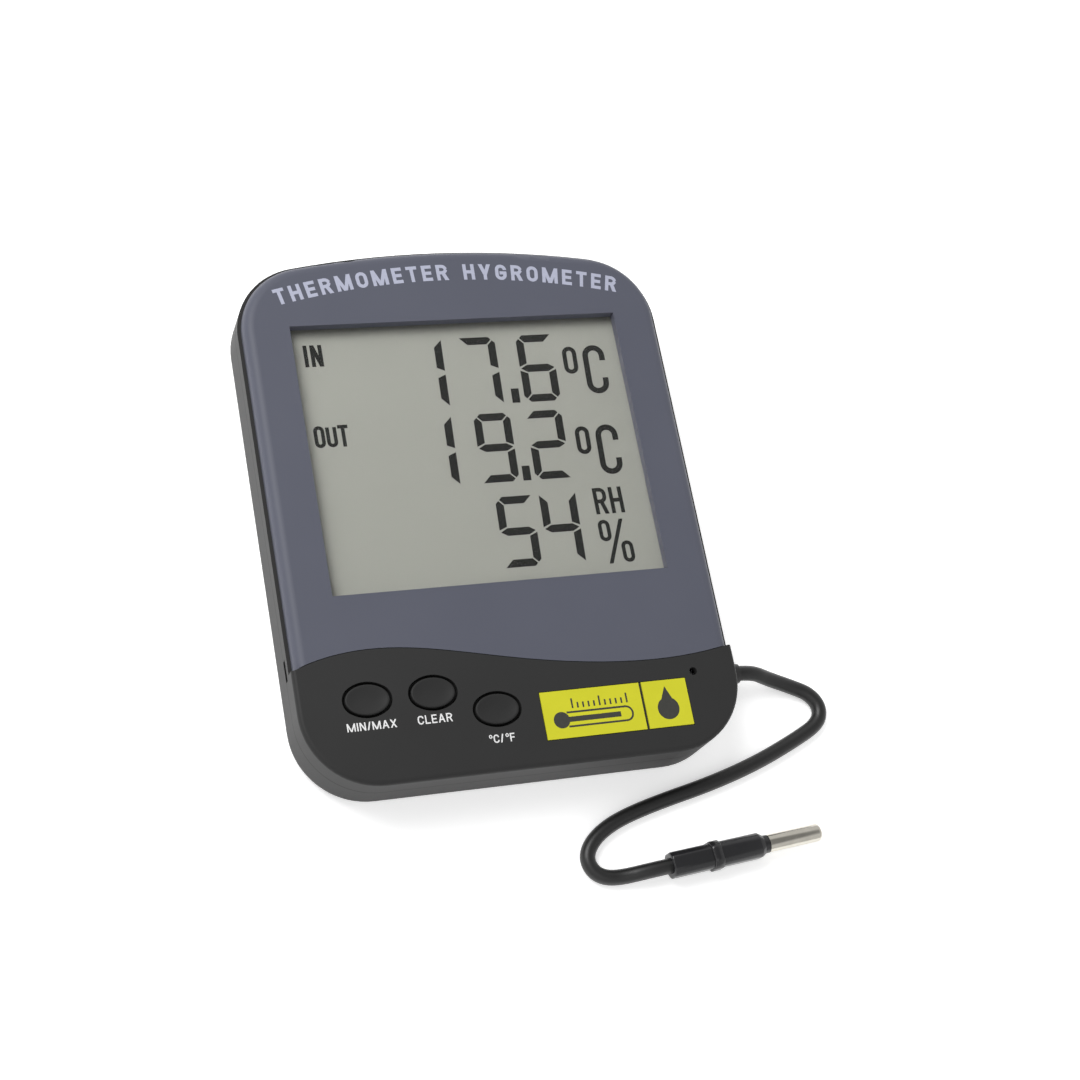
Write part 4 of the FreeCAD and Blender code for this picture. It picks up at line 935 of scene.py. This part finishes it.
# the tin is bright metal that has dulled in patches
tin, tin_shader = surface("tinned steel can", metallic=1.0, roughness=0.3)
dulled = add(tin, "ShaderNodeTexNoise", {"Vector": over(tin, 1.0), "Scale": 1.0, "Detail": 3.0})
tin_tone = add(tin, "ShaderNodeValToRGB", {"Fac": dulled.outputs["Fac"]}, ("#a9a9a6", "#c4c4c0"))
join(tin, tin_tone.outputs["Color"], tin_shader, "Base Color")
finish_in(tin, "board_components")

# a cool white against the green board
sensor_plastic = moulded_plastic("white sensor housing", "#d2d6da", "#dce0e4", 0.45, 0.4, 0.008)
finish_in(sensor_plastic, "humidity_sensor")


# ---- key switches --------------------------------------------------------------------------
# Three tact switches soldered under the keys: black nylon bodies with a small brown plunger each.
# The plunger passes the key's push to the contact inside.

# both nylons are dull from the mould
switch_nylon = moulded_plastic("black nylon switch body", "#141414", "#1b1b1b", 0.5, 0.4, 0.008)
plunger_nylon = moulded_plastic("brown nylon plunger", "#3a241a", "#452c20", 0.5, 0.4, 0.008)
for name in key_names:
    finish_in(switch_nylon, "switch_" + name)
    finish_in(plunger_nylon, "plunger_" + name)


# ---- probe leads ---------------------------------------------------------------------------
# The cord's two cores, stripped back inside the case and soldered to the board. Their insulation is
# given the boot's glossy vinyl.
finish_in(gloss_vinyl, "probe_leads")


# ---- rear cover ----------------------------------------------------------------------------
# The rear half of the case, moulded in the front shell's plastic, with its screw bosses, battery bay,
# vents, keyhole, cord hole and stand channel. Four screws close it on the front shell.
finish_in(shell_plastic, "rear_cover")


# ---- screws --------------------------------------------------------------------------------
# Black zinc plated self tapping screws with crossed recesses: four close the case from behind, and
# four small ones hold the board.

# the black passivation leaves a dark metal with a grey cloudy shine
zinc, zinc_shader = surface("black zinc plated steel", metallic=1.0, roughness=0.38)
passivation = add(zinc, "ShaderNodeTexNoise", {"Vector": over(zinc, 0.8), "Scale": 1.0, "Detail": 3.0})
zinc_tone = add(zinc, "ShaderNodeValToRGB", {"Fac": passivation.outputs["Fac"]}, ("#3c3c40", "#58585c"))
join(zinc, zinc_tone.outputs["Color"], zinc_shader, "Base Color")
finish_in(zinc, "case_screws", "board_screws")


# ---- battery and its contacts --------------------------------------------------------------
# One AAA cell in a shrunk printed sleeve, which leaves its metal ends bare, between a nickel plated
# tab and a nickel plated spring.

# the plating is bright, with a slight bloom
contacts, contacts_shader = surface("nickel plated spring steel", metallic=1.0, roughness=0.25)
plating = add(contacts, "ShaderNodeTexNoise", {"Vector": over(contacts, 1.5), "Scale": 1.0, "Detail": 3.0})
contacts_tone = add(contacts, "ShaderNodeValToRGB", {"Fac": plating.outputs["Fac"]}, ("#b4b2ac", "#d0cec8"))
join(contacts, contacts_tone.outputs["Color"], contacts_shader, "Base Color")
finish_in(contacts, "battery_contact_positive", "battery_spring_negative")

# metallic ink under a clear film: a green body and a copper coloured band, with bare steel ends
sleeve_bands = ((0.02, "#2f4a3a"), (0.70, "#b8852e"), (0.955, "#7c7c78"))
bare_end = 0.965
sleeve, sleeve_shader = surface("printed battery sleeve", metallic=0.7, roughness=0.3)
cell_low, cell_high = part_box("battery_cell")
across = add(sleeve, "ShaderNodeSeparateXYZ", {0: add(sleeve, "ShaderNodeTexCoord").outputs["Object"]})
share = add(sleeve, "ShaderNodeMapRange", {"Value": across.outputs["X"], "From Min": cell_low[0],
                                           "From Max": cell_high[0]})
band = add(sleeve, "ShaderNodeValToRGB", {"Fac": share.outputs["Result"]})
band.color_ramp.interpolation = "CONSTANT"
band.color_ramp.elements[0].color = linear("#b9b6ae")
band.color_ramp.elements[1].position = bare_end
band.color_ramp.elements[1].color = linear("#c8c5bd")
for position, colour in sleeve_bands:
    band.color_ramp.elements.new(position).color = linear(colour)
join(sleeve, band.outputs["Color"], sleeve_shader, "Base Color")
finish_in(sleeve, "battery_cell")


# ---- battery door and stand ----------------------------------------------------------------
# Two small mouldings in the same charcoal ABS. The door hangs by two tabs from the battery bay's
# edge, and the U-shaped stand lies flush round it and turns on two moulded pins.
small_mouldings = moulded_plastic("charcoal ABS, small mouldings", shell_dark, shell_light, 0.50, 0.45, 0.02)
finish_in(small_mouldings, "battery_door", "stand")
